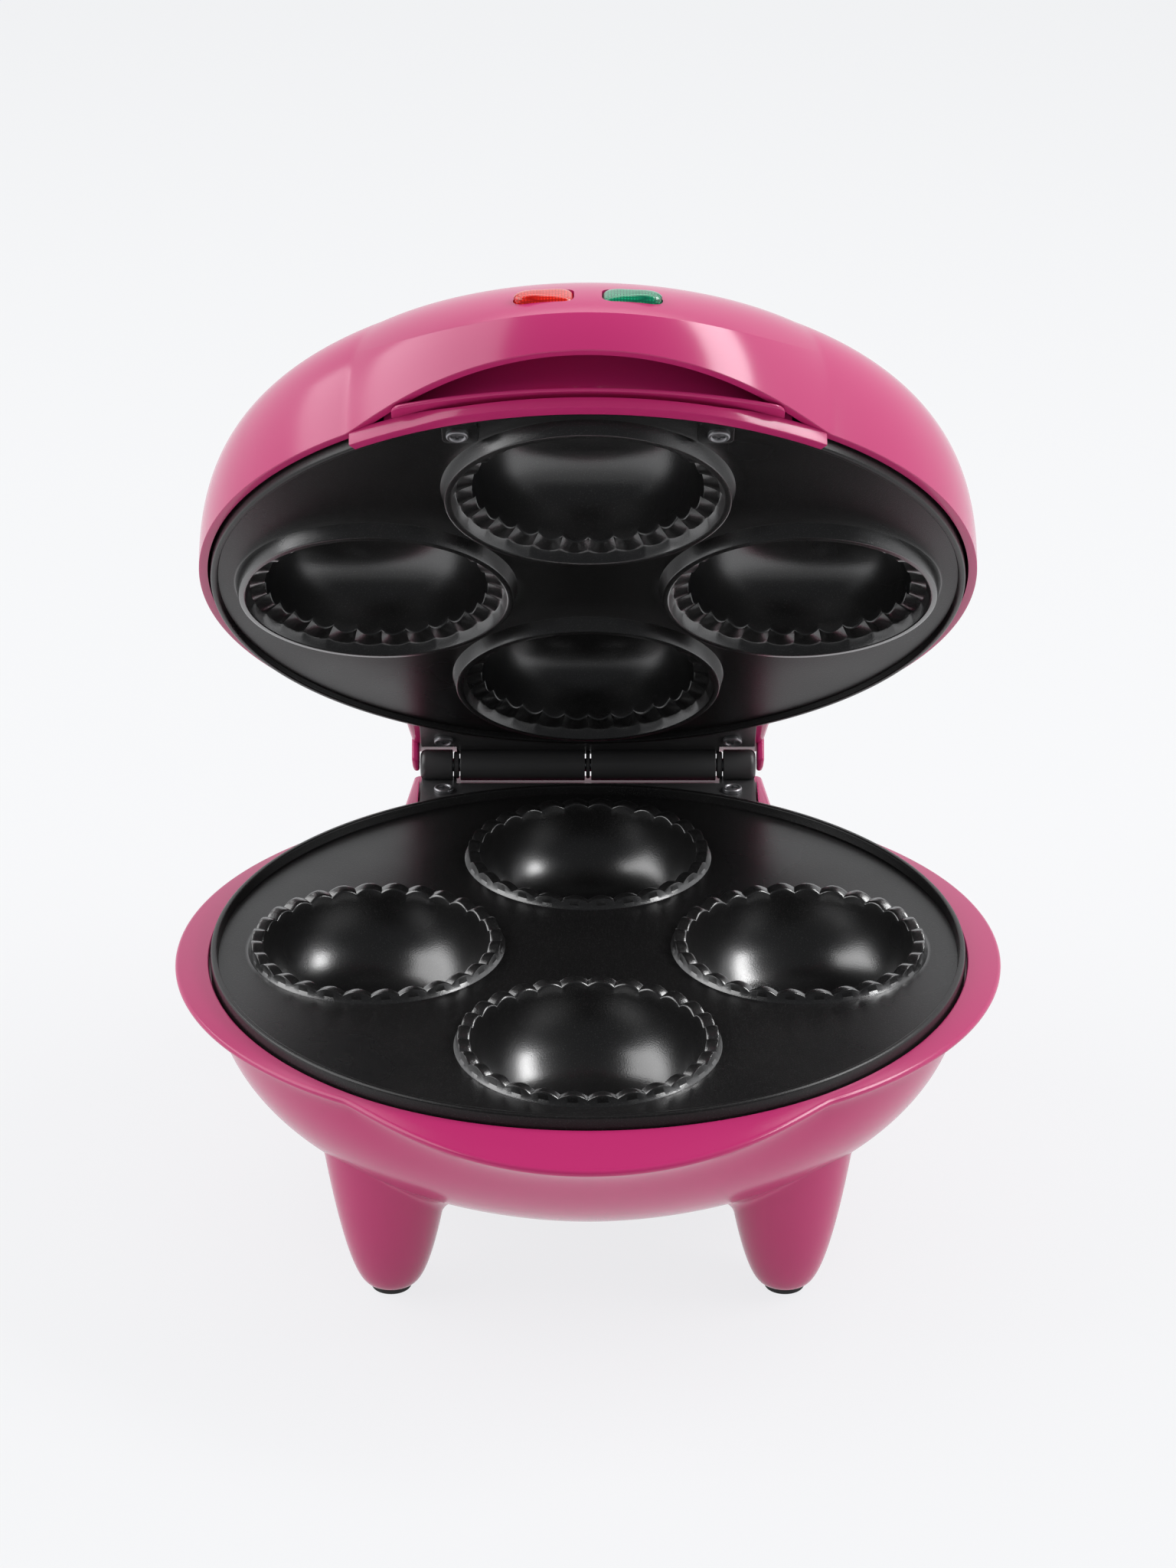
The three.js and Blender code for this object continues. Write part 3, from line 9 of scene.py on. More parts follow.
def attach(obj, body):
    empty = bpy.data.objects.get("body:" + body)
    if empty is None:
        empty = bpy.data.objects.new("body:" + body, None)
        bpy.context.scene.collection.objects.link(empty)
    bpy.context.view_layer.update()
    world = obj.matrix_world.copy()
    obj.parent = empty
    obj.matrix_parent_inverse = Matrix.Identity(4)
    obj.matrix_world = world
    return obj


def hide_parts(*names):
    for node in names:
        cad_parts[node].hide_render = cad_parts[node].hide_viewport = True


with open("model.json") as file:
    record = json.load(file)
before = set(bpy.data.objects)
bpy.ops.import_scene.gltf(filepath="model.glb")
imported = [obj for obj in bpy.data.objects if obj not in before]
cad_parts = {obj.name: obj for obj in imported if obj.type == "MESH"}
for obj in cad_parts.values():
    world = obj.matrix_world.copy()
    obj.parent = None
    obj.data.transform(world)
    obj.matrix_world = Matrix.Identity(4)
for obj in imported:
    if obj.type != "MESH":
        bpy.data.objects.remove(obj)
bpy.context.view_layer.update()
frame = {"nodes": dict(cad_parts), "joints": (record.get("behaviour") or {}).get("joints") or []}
print("frame loaded")

# Shapes are worked out in millimetres in the plates' own frame: the rim of the lower plate is at z = 0, the
# plates' middle at x = y = 0, and angles count from the front (-Y) towards +X. The lid is shaped closed.
machine = {
    "hingeY": 118.2,
    "hingeZ": 0.17,
    "lidOpen": 47.6,            # degrees
    "gap": 0.3,
    "plateRadius": 105.0,
    "cupCircle": 59.0,
    "wall": 2.4,
    "sharpAngle": 32.0,         # degrees between faces from which an edge is drawn sharp
    "roundAngle": 40.0,         # degrees between faces from which an edge is rounded
    "cutBelow": -70.0,          # level under the bowl from which cuts start
}
turn = 2 * np.pi
degree = np.pi / 180
hingePoint = np.array(frame["joints"][0]["pos_m"]) * 1000
origin = hingePoint - np.array([0.0, machine["hingeY"], machine["hingeZ"]])


# Moves points of the plates' frame to the row's frame; those on the lid first turn open about the hinge
def toWorld(points, onLid):
    p = np.array(points, float)
    if onLid:
        opening = machine["lidOpen"] * degree
        y = p[..., 1] - machine["hingeY"]
        z = p[..., 2] - machine["hingeZ"]
        p[..., 1] = machine["hingeY"] + y * np.cos(opening) + z * np.sin(opening)
        p[..., 2] = machine["hingeZ"] - y * np.sin(opening) + z * np.cos(opening)
    return (p + origin) * 0.001


# Points at a radius, an angle from the front and a height
def around(radius, angle, height):
    radius, angle, height = np.broadcast_arrays(radius, angle, height)
    return np.stack([radius * np.sin(angle), -radius * np.cos(angle), height], -1)


# Evenly spaced angles once round
def fullTurn(columns):
    return np.linspace(0, turn, columns, endpoint=False)


# Quarter turns of points about z, from the front towards +X
def quarterTurned(points, quarter):
    cosine, sine = np.cos(quarter * np.pi / 2), np.sin(quarter * np.pi / 2)
    return points @ np.array([[cosine, sine, 0], [-sine, cosine, 0], [0, 0, 1]])


# Cubic curve through the first and last of four points, pulled by the two between them
def bezier(points, share):
    s = np.asarray(share, float)[..., None]
    p0, p1, p2, p3 = (np.asarray(p, float) for p in points)
    return (1 - s) ** 3 * p0 + 3 * (1 - s) ** 2 * s * p1 + 3 * (1 - s) * s ** 2 * p2 + s ** 3 * p3


# Unit direction of the same curve
def bezierSlope(points, share):
    s = np.asarray(share, float)[..., None]
    p0, p1, p2, p3 = (np.asarray(p, float) for p in points)
    d = (1 - s) ** 2 * (p1 - p0) + 2 * (1 - s) * s * (p2 - p1) + s ** 2 * (p3 - p2)
    return d / np.linalg.norm(d, axis=-1, keepdims=True)


# Quads over a rows x columns grid of points whose columns close on themselves. The rows close too where loops
# is true; otherwise each end row, or only the first, is closed by a fan to its middle
def gridSurface(points, loops=False, capped=True):
    rows, columns = points.shape[:2]
    i, j = np.meshgrid(np.arange(rows if loops else rows - 1), np.arange(columns), indexing="ij")
    down, right = (i + 1) % rows, (j + 1) % columns
    quads = np.stack([i * columns + j, i * columns + right, down * columns + right, down * columns + j], -1)
    vertices = points.reshape(-1, 3)
    faces = quads.reshape(-1, 4).tolist()
    if capped and not loops:
        first = np.arange(columns)
        after = (first + 1) % columns
        last = (rows - 1) * columns
        faces += np.stack([first, np.full(columns, len(vertices)), after], -1).tolist()
        vertices = np.concatenate([vertices, points[:1].mean(1)])
        if capped != "start":
            faces += np.stack([last + first, last + after, np.full(columns, len(vertices))], -1).tolist()
            vertices = np.concatenate([vertices, points[-1:].mean(1)])
    return vertices, faces


# One object from several closed surfaces, with every face turned outwards
def meshOf(name, surfaces, onLid=False):
    vertices, faces, start = [], [], 0
    for surfaceVertices, surfaceFaces in surfaces:
        vertices.append(surfaceVertices)
        faces += [[start + k for k in face] for face in surfaceFaces]
        start += len(surfaceVertices)
    mesh = bpy.data.meshes.new(name)
    mesh.from_pydata(toWorld(np.concatenate(vertices), onLid).tolist(), [], faces)
    shaped = bmesh.new()
    shaped.from_mesh(mesh)
    bmesh.ops.remove_doubles(shaped, verts=shaped.verts, dist=1e-7)
    bmesh.ops.recalc_face_normals(shaped, faces=shaped.faces)
    shaped.to_mesh(mesh)
    shaped.free()
    return placed(name, mesh)


# A new object in the scene for a mesh, a lamp or a camera
def placed(name, data):
    made = bpy.data.objects.new(name, data)
    bpy.context.scene.collection.objects.link(made)
    return made


# Replaces a piece's mesh by what its modifiers make of it
def applyModifiers(piece):
    shaped = bpy.data.meshes.new_from_object(piece.evaluated_get(bpy.context.evaluated_depsgraph_get()))
    piece.modifiers.clear()
    piece.data = shaped


# Joins other closed solids to a piece, or cuts them from it, and removes them
def combine(piece, others, operation):
    for other in others:
        modifier = piece.modifiers.new("combine", "BOOLEAN")
        modifier.operation = operation
        modifier.solver = "MANIFOLD"
        modifier.object = other
    applyModifiers(piece)
    for other in others:
        bpy.data.objects.remove(other)


# Cuts solids given as points and faces from a piece
def cutAway(piece, solids, onLid=False):
    combine(piece, [meshOf("cut", [solid], onLid) for solid in solids], "DIFFERENCE")


# Rounds the edges that are sharper than the machine's angle, by a width in millimetres
def roundEdges(piece, width, segments=3):
    modifier = piece.modifiers.new("edges", "BEVEL")
    modifier.width = width * 0.001
    modifier.segments = segments
    modifier.limit_method = "ANGLE"
    modifier.angle_limit = machine["roundAngle"] * degree
    modifier.use_clamp_overlap = True
    applyModifiers(piece)


# Gives a piece its material and smooth faces, hangs it on the empty of the body it rides on, and hides the
# parts that it replaces
def finishPiece(piece, material, body, replaced):
    piece.data.materials.clear()
    piece.data.materials.append(material)
    piece.data.shade_smooth()
    piece.data.set_sharp_from_angle(angle=machine["sharpAngle"] * degree)
    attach(piece, body)
    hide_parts(*replaced)


# Solid of revolution about the vertical through the origin, from (radius, height) points
def revolve(profile, columns):
    profile = np.asarray(profile, float)
    return around(profile[:, :1], fullTurn(columns)[None], profile[:, 1:])


# Round solid about the vertical between two heights
def pillar(radius, low, high, columns=48):
    return revolve([(0, low), (radius, low), (radius, high), (0, high)], columns)


# Turns a solid that stands on z to lie along x or y, or upside down, and puts it at a place
def movedTo(points, place, axis="z", flip=False):
    p = points.copy()
    if flip:
        p = p * np.array([1, -1, -1])
    if axis == "x":
        p = p[..., [2, 0, 1]]
    if axis == "y":
        p = p[..., [1, 2, 0]]
    return p + np.array(place, float)


# Points on an arc of a circle between two angles in degrees
def arcPoints(middle, radius, start, end, steps):
    angle = np.linspace(start, end, steps) * degree
    return np.stack([middle[0] + radius * np.cos(angle), middle[1] + radius * np.sin(angle)], -1)


# An outline of (x, y) points at several heights, each with its own scale
def stacked(outline, levels):
    return np.stack([np.concatenate([outline * scale, np.full((len(outline), 1), z)], 1)
                     for scale, z in levels])


# Closed solid of an outline between two levels; the outline's points are (x, y) and the levels are on z
def prism(outline, low, high):
    outline = np.asarray(outline, float)
    count = len(outline)
    sides = [[k, (k + 1) % count, count + (k + 1) % count, count + k] for k in range(count)]
    levels = stacked(outline, [(1, low), (1, high)]).reshape(-1, 3)
    return levels, sides + [list(range(count))[::-1], list(range(count, 2 * count))]


# Turns a prism so that its outline lies in the (y, z) plane and its levels on x
def sideways(solid):
    vertices, faces = solid
    return vertices[:, [2, 0, 1]], faces


# Finishes
looks = {
    "driftReach": (0.3, 0.7),       # of the slow noise, over which the roughness changes
    "speckReach": (0.56, 0.72),     # of the fine noise, over which specks appear
    "speckColor": (0.35, 0.35, 0.35, 1),
    "prismScale": 1250,
    # of the prisms' distance, over which a lens turns from its colour to its painted facet shade
    "facetShadeReach": (0.1, 0.5),
    "prismStrength": 0.6,
    "prismDepth": 0.0002,
    # strength of the lens's painted glow, a faint light in its own colour
    "paintedLensGlow": 0.3,
}


# Linear colour of an sRGB one, each channel by the standard curve
def srgb(red, green, blue):
    c = np.array([red, green, blue]) / 255
    linear = np.where(c <= 0.04045, c / 12.92, ((c + 0.055) / 1.055) ** 2.4)
    return (*linear.tolist(), 1.0)


# Sets each input of a node to a value, or links it from another node's output
def setInputs(tree, node, inputs):
    for name, value in inputs.items():
        if isinstance(value, bpy.types.NodeSocket):
            tree.links.new(value, node.inputs[name])
        else:
            node.inputs[name].default_value = value


# A new node with its settings first, as these decide which inputs it has
def addNode(tree, kind, inputs=None, **settings):
    node = tree.nodes.new("ShaderNode" + kind)
    for name, value in settings.items():
        setattr(node, name, value)
    setInputs(tree, node, inputs or {})
    return node


# Fine grain from two scales of noise: a normal for the surface, a slow mask that varies its finish, and the
# fine noise itself for specks
def grainGroup():
    group = bpy.data.node_groups.new("surfaceGrain", "ShaderNodeTree")
    for name in ("Scale", "Height", "Drift"):
        group.interface.new_socket(name=name, in_out="INPUT", socket_type="NodeSocketFloat")
    for name, kind in (("Normal", "Vector"), ("Mask", "Float"), ("Speck", "Float")):
        group.interface.new_socket(name=name, in_out="OUTPUT", socket_type="NodeSocket" + kind)
    given = group.nodes.new("NodeGroupInput").outputs
    place = addNode(group, "TexCoord").outputs["Object"]
    fine = addNode(group, "TexNoise", {"Vector": place, "Scale": given["Scale"], "Detail": 3}).outputs["Fac"]
    slow = addNode(group, "TexNoise", {"Vector": place, "Scale": given["Drift"], "Detail": 2}).outputs["Fac"]
    bump = addNode(group, "Bump", {"Strength": 1, "Distance": given["Height"], "Height": fine})
    result = group.nodes.new("NodeGroupOutput")
    setInputs(group, result, {"Normal": bump.outputs["Normal"], "Mask": slow, "Speck": fine})
    return group


surfaceGrain = grainGroup()


# Principled surface whose colour drifts between two near tones and whose gloss and grain vary with noise.
# roughness is (least, most) and grain is (scale per metre, height in millimetres, drift per metre); bowls is
# the index of the clear coat that lies only on points marked as a cup's
def finish(name, color, second, roughness, grain, metallic=0.0, ior=1.5, coat=0.0, coatRoughness=0.1,
           specks=0.0, bowls=None):
    material = bpy.data.materials.new(name)
    material.use_nodes = True
    tree = material.node_tree
    shader = tree.nodes["Principled BSDF"]
    scale, height, drift = grain
    texture = addNode(tree, "Group", {"Scale": scale, "Height": height * 0.001, "Drift": drift},
                      node_tree=surfaceGrain).outputs
    tone = addNode(tree, "Mix", {"A": color, "B": second, "Factor": texture["Mask"]}, data_type="RGBA")
    low, high = looks["driftReach"]
    gloss = addNode(tree, "MapRange", {"Value": texture["Mask"], "From Min": low, "From Max": high,
                                       "To Min": roughness[0], "To Max": roughness[1]})
    if specks > 0:
        low, high = looks["speckReach"]
        sparkle = addNode(tree, "MapRange", {"Value": texture["Speck"], "From Min": low, "From Max": high,
                                             "To Max": specks})
        tone = addNode(tree, "Mix", {"A": tone.outputs["Result"], "B": looks["speckColor"],
                                     "Factor": sparkle.outputs["Result"]}, data_type="RGBA")
    setInputs(tree, shader, {
        "Base Color": tone.outputs["Result"], "Metallic": metallic, "Roughness": gloss.outputs["Result"],
        "IOR": ior, "Normal": texture["Normal"], "Coat Weight": coat, "Coat Roughness": coatRoughness})
    if bowls:
        mask = addNode(tree, "Attribute", attribute_name="bowl")
        setInputs(tree, shader, {"Coat Weight": mask.outputs["Fac"], "Coat IOR": bowls,
                                 "Coat Normal": texture["Normal"]})
    return material


# Tinted lamp cover: rows of small prisms under a clear smooth front. Each prism's colour is painted lighter
# in its middle and darker towards its edges as painted facet shade, and the cover has a faint painted glow of
# its own colour
def lensFinish(name, color, facetShade):
    material = finish(name, color, color, (0.08, 0.12), (900, 0.01, 60), coat=0.5, coatRoughness=0.03)
    tree = material.node_tree
    place = addNode(tree, "TexCoord").outputs["Object"]
    turned = addNode(tree, "Mapping", {"Vector": place, "Rotation": (machine["lidOpen"] * degree, 0, 0)})
    prisms = addNode(tree, "TexVoronoi", distance="CHEBYCHEV")
    setInputs(tree, prisms, {"Vector": turned.outputs["Vector"], "Scale": looks["prismScale"],
                             "Randomness": 0.0})
    away = prisms.outputs["Distance"]
    low, high = looks["facetShadeReach"]
    # Painted facet shade: each prism's colour darkens from its middle towards its edges
    facetShading = addNode(tree, "MapRange", {"Value": away, "From Min": low, "From Max": high})
    shade = addNode(tree, "Mix", {"A": color, "B": facetShade, "Factor": facetShading.outputs["Result"]},
                    data_type="RGBA").outputs["Result"]
    bump = addNode(tree, "Bump", {"Strength": looks["prismStrength"], "Distance": looks["prismDepth"],
                                  "Height": away}, invert=True)
    # The lens glows faintly in its shaded colour: painted light, not a lit lamp
    setInputs(tree, tree.nodes["Principled BSDF"], {
        "Base Color": shade, "Normal": bump.outputs["Normal"], "Emission Color": shade,
        "Emission Strength": looks["paintedLensGlow"]})
    return material


magentaPlastic = finish("magentaPlastic", srgb(180, 34, 101), srgb(184, 36, 104), (0.14, 0.2),
                        (260, 0.004, 18), ior=1.46, coat=0.4, coatRoughness=0.55)
nonStick = finish("nonStick", srgb(20, 20, 21), srgb(26, 25, 25), (0.26, 0.34), (2600, 0.03, 30), ior=1.46,
                  coatRoughness=0.22, specks=0.06, bowls=1.85)
blackSteel = finish("blackSteel", srgb(58, 58, 59), srgb(66, 66, 67), (0.36, 0.46), (900, 0.012, 40))
screwSteel = finish("screwSteel", srgb(150, 150, 153), srgb(168, 168, 171), (0.34, 0.44), (1400, 0.01, 80),
                    metallic=0.9)
brightSteel = finish("brightSteel", srgb(186, 188, 192), srgb(172, 174, 178), (0.2, 0.3), (1600, 0.006, 50),
                     metallic=1.0)
rubber = finish("rubber", srgb(20, 20, 20), srgb(28, 28, 28), (0.62, 0.74), (1100, 0.03, 60))
elementTube = finish("elementTube", srgb(112, 108, 104), srgb(90, 84, 82), (0.42, 0.55), (900, 0.02, 30),
                     metallic=0.9)
millSheet = finish("millSheet", srgb(196, 198, 202), srgb(184, 186, 190), (0.3, 0.4), (700, 0.01, 25),
                   metallic=1.0)
steatite = finish("steatite", srgb(226, 218, 204), srgb(214, 206, 192), (0.6, 0.7), (1500, 0.03, 60))
lampGlass = finish("lampGlass", srgb(225, 196, 168), srgb(235, 214, 190), (0.06, 0.1), (800, 0.004, 60),
                   coat=1.0, coatRoughness=0.03)
# The second colour of each lens is the painted shade at the edges of its prisms
redLens = lensFinish("redLens", srgb(226, 44, 30), srgb(150, 12, 8))
greenLens = lensFinish("greenLens", srgb(18, 150, 104), srgb(4, 84, 62))
print("finishes made")


# Base: flange, thumb lip, bowl, legs and hinge housing
base = {
    "flangeHalfWidth": 115.0,
    "flangeHalfDepth": 106.0,
    "flangeUnder": 2.0,         # how far the flange starts within the plate's radius
    "flangeDrop": 3.0,
    "flangeFall": 1.3,          # power of the fall towards the edge
    "edgeDrop": 4.0,
    "edgeThickness": 2.0,
    "lipReach": 14.8,
    "lipDrop": 3.2,
    "lipHalfAngle": 36.0,
    "bowlCurve": [(104.7, -6.3), (106.4, -33.5), (78.0, -51.06), (48.0, -55.8)],
    "bowlDepth": 55.8,
    "shelfHeight": -6.8,
    "shelfWidth": 3.8,
    "shelfThickness": 2.0,
    "seatRound": 0.5,
    "seatSink": 0.48,
    "columns": 432,
}
bowlTable = bezier(base["bowlCurve"], np.linspace(0, 1, 400))


# One at the front, nothing past the half angle, and a cosine's power between them
def frontSwell(angle, halfAngle, power=1.2):
    away = np.abs(np.arctan2(np.sin(angle), np.cos(angle))) / (halfAngle * degree)
    return np.where(away < 1, np.cos(np.minimum(away, 1) * np.pi / 2) ** power, 0.0)


# An ellipse about the middle, pushed out into the lip at the front
def flangeRadius(angle):
    oval = 1 / np.hypot(np.sin(angle) / base["flangeHalfWidth"], np.cos(angle) / base["flangeHalfDepth"])
    return oval + base["lipReach"] * frontSwell(angle, base["lipHalfAngle"])


# Level of the flange's edge, which the same swell lowers at the lip
def flangeEdge(angle):
    return -base["edgeDrop"] - base["lipDrop"] * frontSwell(angle, base["lipHalfAngle"])


# Height of the flange: falls to the level of its edge with a power of the share of the way out
def flangeHeight(level, share):
    return -base["flangeDrop"] + (level + base["flangeDrop"]) * share ** base["flangeFall"]


# Height of the bowl's outside at a distance from the middle
def bowlHeight(radius):
    return np.interp(radius, bowlTable[::-1, 0], bowlTable[::-1, 1])


# Profile turned about the middle: flange, rolled edge and bowl. The flange's edge is an oval with a thumb
# lip, and the bowl swells out to meet it with an exponential fall
def baseOutside():
    a = fullTurn(base["columns"])
    edge, level = flangeRadius(a), flangeEdge(a)
    nose = base["edgeThickness"] / 2
    start = machine["plateRadius"] - base["flangeUnder"]
    rows = [around(r, a, -base["flangeDrop"]) for r in (40.0, 80.0)]
    for share in np.linspace(0, 1, 26):
        rows.append(around(start + (edge - nose - start) * share, a, flangeHeight(level, share)))
    for angle in np.linspace(75, -80, 8) * degree:
        rows.append(around(edge - nose + nose * np.cos(angle), a, level - nose + nose * np.sin(angle)))
    bowlTop = base["bowlCurve"][0][1]
    swell = frontSwell(a, base["lipHalfAngle"])
    reach = edge - base["edgeThickness"] - base["bowlCurve"][0][0]
    depth = base["edgeThickness"] + swell * base["lipReach"] / 2
    top = level - base["edgeThickness"] - machine["gap"]
    for r, z in bezier(base["bowlCurve"], np.linspace(0, 1, 90) ** 1.5):
        fall = np.exp((z - bowlTop) / depth)
        rows.append(around(r + reach * fall, a, z + (top - bowlTop) * fall))
    rows += [around(r, a, -base["bowlDepth"]) for r in (40.0, 30.0, 15.0)]
    return gridSurface(np.stack(rows))


# Room for the lower plate, the shelf that carries it, and the bowl's inside along the outside's normals
def baseInside():
    a = fullTurn(base["columns"])
    seat = machine["plateRadius"] + 2 * machine["gap"]
    chamfer = base["seatRound"]
    under = base["flangeUnder"]
    run = flangeRadius(a) + under - base["edgeThickness"] / 2 - machine["plateRadius"]
    share = (seat + chamfer - machine["plateRadius"] + under) / run
    top = flangeHeight(flangeEdge(a), np.clip(share, 0, 1))
    rows = [around(r, a, 6) for r in (40.0, 80.0, seat + chamfer)]
    for angle in np.linspace(90, 180, 6) * degree:
        rows.append(around(seat + chamfer + chamfer * np.cos(angle), a,
                           top - base["seatSink"] + chamfer * np.sin(angle)))
    inner, shelf = seat - base["shelfWidth"], base["shelfHeight"]
    rows += [around(r, a, z) for r, z in (
        (seat, shelf), (inner, shelf), (inner, shelf - base["shelfThickness"]))]
    shares = np.linspace(0.12, 1, 30)
    slope = bezierSlope(base["bowlCurve"], shares)
    inside = bezier(base["bowlCurve"], shares) + machine["wall"] * np.stack([slope[:, 1], -slope[:, 0]], -1)
    rows += [around(r, a, z) for r, z in inside]
    rows += [around(r, a, -base["bowlDepth"] + machine["wall"]) for r in (30.0, 15.0)]
    return gridSurface(np.stack(rows))


legs = {
    "spacing": 108.0,
    "length": 78.0,
    "footRadius": 5.9,
    "growth": 10.9,
    "rise": 36.0,
    "swellShare": 0.52,
    "fillet": 5.0,
    "filletDropShare": 0.9,
    "filletPullShare": 0.55,
    "roots": ((0.6, 0.5), (-3, 1.2)),       # past the fillet's end: step outwards, and step up into the bowl
    "columns": 144,
}


# Tapered round leg whose radius grows as a power of the height, and whose top turns into the bowl's surface
# along a cubic curve that leaves the leg's side and arrives along the bowl
def legSkin(quarter):
    a = fullTurn(legs["columns"])
    centre = legs["spacing"] / 2

    def radiusAt(z):
        risen = (z + legs["length"]) / legs["rise"]
        return legs["footRadius"] + legs["growth"] * risen ** legs["swellShare"]

    def bowlAt(radius):
        return bowlHeight(np.hypot(centre + radius * np.sin(a), centre - radius * np.cos(a)))

    outer = legs["footRadius"] + legs["growth"] + legs["fillet"]
    landing = bowlAt(outer)
    top = landing - legs["fillet"] * legs["filletDropShare"]
    rows = []
    for share in np.linspace(0, 1, 40) ** 1.8:
        z = -legs["length"] + (top + legs["length"]) * share
        rows.append((radiusAt(z), z))
    start = np.stack([radiusAt(top), top], -1)
    upward = np.stack([radiusAt(top + 1) - radiusAt(top), np.ones_like(a)], -1)
    end = np.stack([np.full_like(a, outer), landing], -1)
    outward = np.stack([np.ones_like(a), bowlAt(outer + 1) - landing], -1)
    pull = legs["fillet"] * legs["filletPullShare"]
    first = start + pull * upward / np.linalg.norm(upward, axis=-1, keepdims=True)
    second = end - pull * outward / np.linalg.norm(outward, axis=-1, keepdims=True)
    for share in np.linspace(0.08, 1, 14):
        point = bezier([start, first, second, end], share)
        rows.append((point[:, 0], point[:, 1]))
    rows += [(outer + out, bowlAt(outer + out) + up) for out, up in legs["roots"]]
    grid = [np.stack([centre + r * np.sin(a), centre - r * np.cos(a), z + 0 * a], -1) for r, z in rows]
    return gridSurface(quarterTurned(np.stack(grid), quarter))


barrels = {
    "radius": 4.7,
    "pinRadius": 2.0,
    "boreGap": 0.25,
    "halfLength": 50.8,
    "knuckle": 9.8,
    "gap": 2.3,
    "middleGap": 1.9,
    "edge": 0.35,
    "dome": 1.8,
    "spacerRadius": 4.1,
    "spacerGap": 0.35,
    "spacerEdge": 0.3,
    "spacerBoreGap": 0.05,
    "pinShort": 1.4,            # how far the pin ends inside the outer barrels
    "pinEdge": 0.4,
    "tabThickness": 1.6,
    "tabHalfWidth": 50.5,
    "tabRound": 0.3,
    "lowerTop": -3.4,
    "upperBottom": 3.7,
}
hinge = {
    "near": 72.45,              # where a housing has run into the shell
    "back": 122.3,
    "nearHalfWidth": 57.7,
    "backHalfWidth": 52.6,
    "roomHalfWidth": 51.1,
    "roomNear": 55.0,
    "roomBack": 130.0,
    "roomTop": 2.0,             # of the room cut in the base
    "roomLow": -1.0,            # of the room cut in the lid
    "cheekHalfWidth": 60.0,
    "cheekBack": 0.6,           # from the axis to the end of the cheek beside the lower bracket
    "lowerTop": 3.4,
    "lowerFace": 5.3,
    "lowerDepth": 22.3,
    "upperFace": 5.6,
    "upperDepth": 15.6,
    "slopeShare": 0.36,
    "edgeRound": 2.0,
}


# Half width of the hinge housings, a straight line from where they leave the shell to the back
def housingHalfWidth(y):
    share = (np.asarray(y, float) - hinge["near"]) / (hinge["back"] - hinge["near"])
    return hinge["nearHalfWidth"] + (hinge["backHalfWidth"] - hinge["nearHalfWidth"]) * share


# Box behind the plates that carries the hinge and narrows towards the back; inset makes the smaller solid
# that hollows it
def hingeHousing(side, face, depth, inset=0.0):
    back = hinge["back"] - inset
    slope = (depth - face) * hinge["slopeShare"]
    high = depth - inset
    outline = [(hinge["near"], face + inset), (back, face + inset), (back, high),
               (back - slope / 2, high + slope), (hinge["near"], high + 2 * slope)]
    half = hinge["nearHalfWidth"] - inset
    vertices, faces = sideways(prism([(y, side * z) for y, z in outline], -half, half))
    vertices[:, 0] *= housingHalfWidth(vertices[:, 1]) / hinge["nearHalfWidth"]
    return vertices, faces


# Box from a place behind the middle to past the back of the housings, between two heights
def hingeBox(half, near, low, high):
    back = hinge["roomBack"]
    return sideways(prism([(near, low), (back, low), (back, high), (near, high)], -half, half))


underside = {
    "wellRadius": 4.35,
    "wellCircle": 61.5,
    "wellDepth": 11.0,
    "postRadius": 6.8,
    "postTop": -34.5,
    "ventCount": 6,
    "ventLength": 18.0,
    "ventWidth": 3.0,
    "ventInner": 14.0,
    "ventSpare": 2.0,           # how far a slot's cut passes the wall on both sides
    "leadRadius": 5.9,
    "leadReach": (-9.0, 6.0),
}
foot = {
    "radius": 5.5,
    "height": 2.0,
    "round": 0.6,
    "plugRadius": 4.0,
    "plugHeight": 1.1,
    "seatGap": 0.05,
    "socketRadius": 4.3,
    "socketReach": (-82.0, -76.6),
}
leadPlace = (0, hinge["back"], -(hinge["lowerFace"] + hinge["lowerDepth"]) / 2)
legPlace = legs["spacing"] / 2


# One solid that stands on z, at each of the four wells
def atWells(points):
    places = [around(underside["wellCircle"], k * np.pi / 2, 0.0) for k in range(4)]
    return [gridSurface(movedTo(points, place)) for place in places]


# Round-ended slots set like spokes in the underside
def ventSlots():
    half = underside["ventWidth"] / 2
    run = underside["ventLength"] - underside["ventWidth"]
    start = underside["ventInner"] + half
    ends = np.concatenate([arcPoints((start + run, 0), half, -90, 90, 13),
                           arcPoints((start, 0), half, 90, 270, 13)])
    low = -base["bowlDepth"] - underside["ventSpare"]
    high = -base["bowlDepth"] + machine["wall"] + underside["ventSpare"]
    slots = []
    for k in range(underside["ventCount"]):
        angle = turn * k / underside["ventCount"]
        cosine, sine = np.cos(angle), np.sin(angle)
        slots.append(prism(ends @ np.array([[cosine, sine], [-sine, cosine]]), low, high))
    return slots


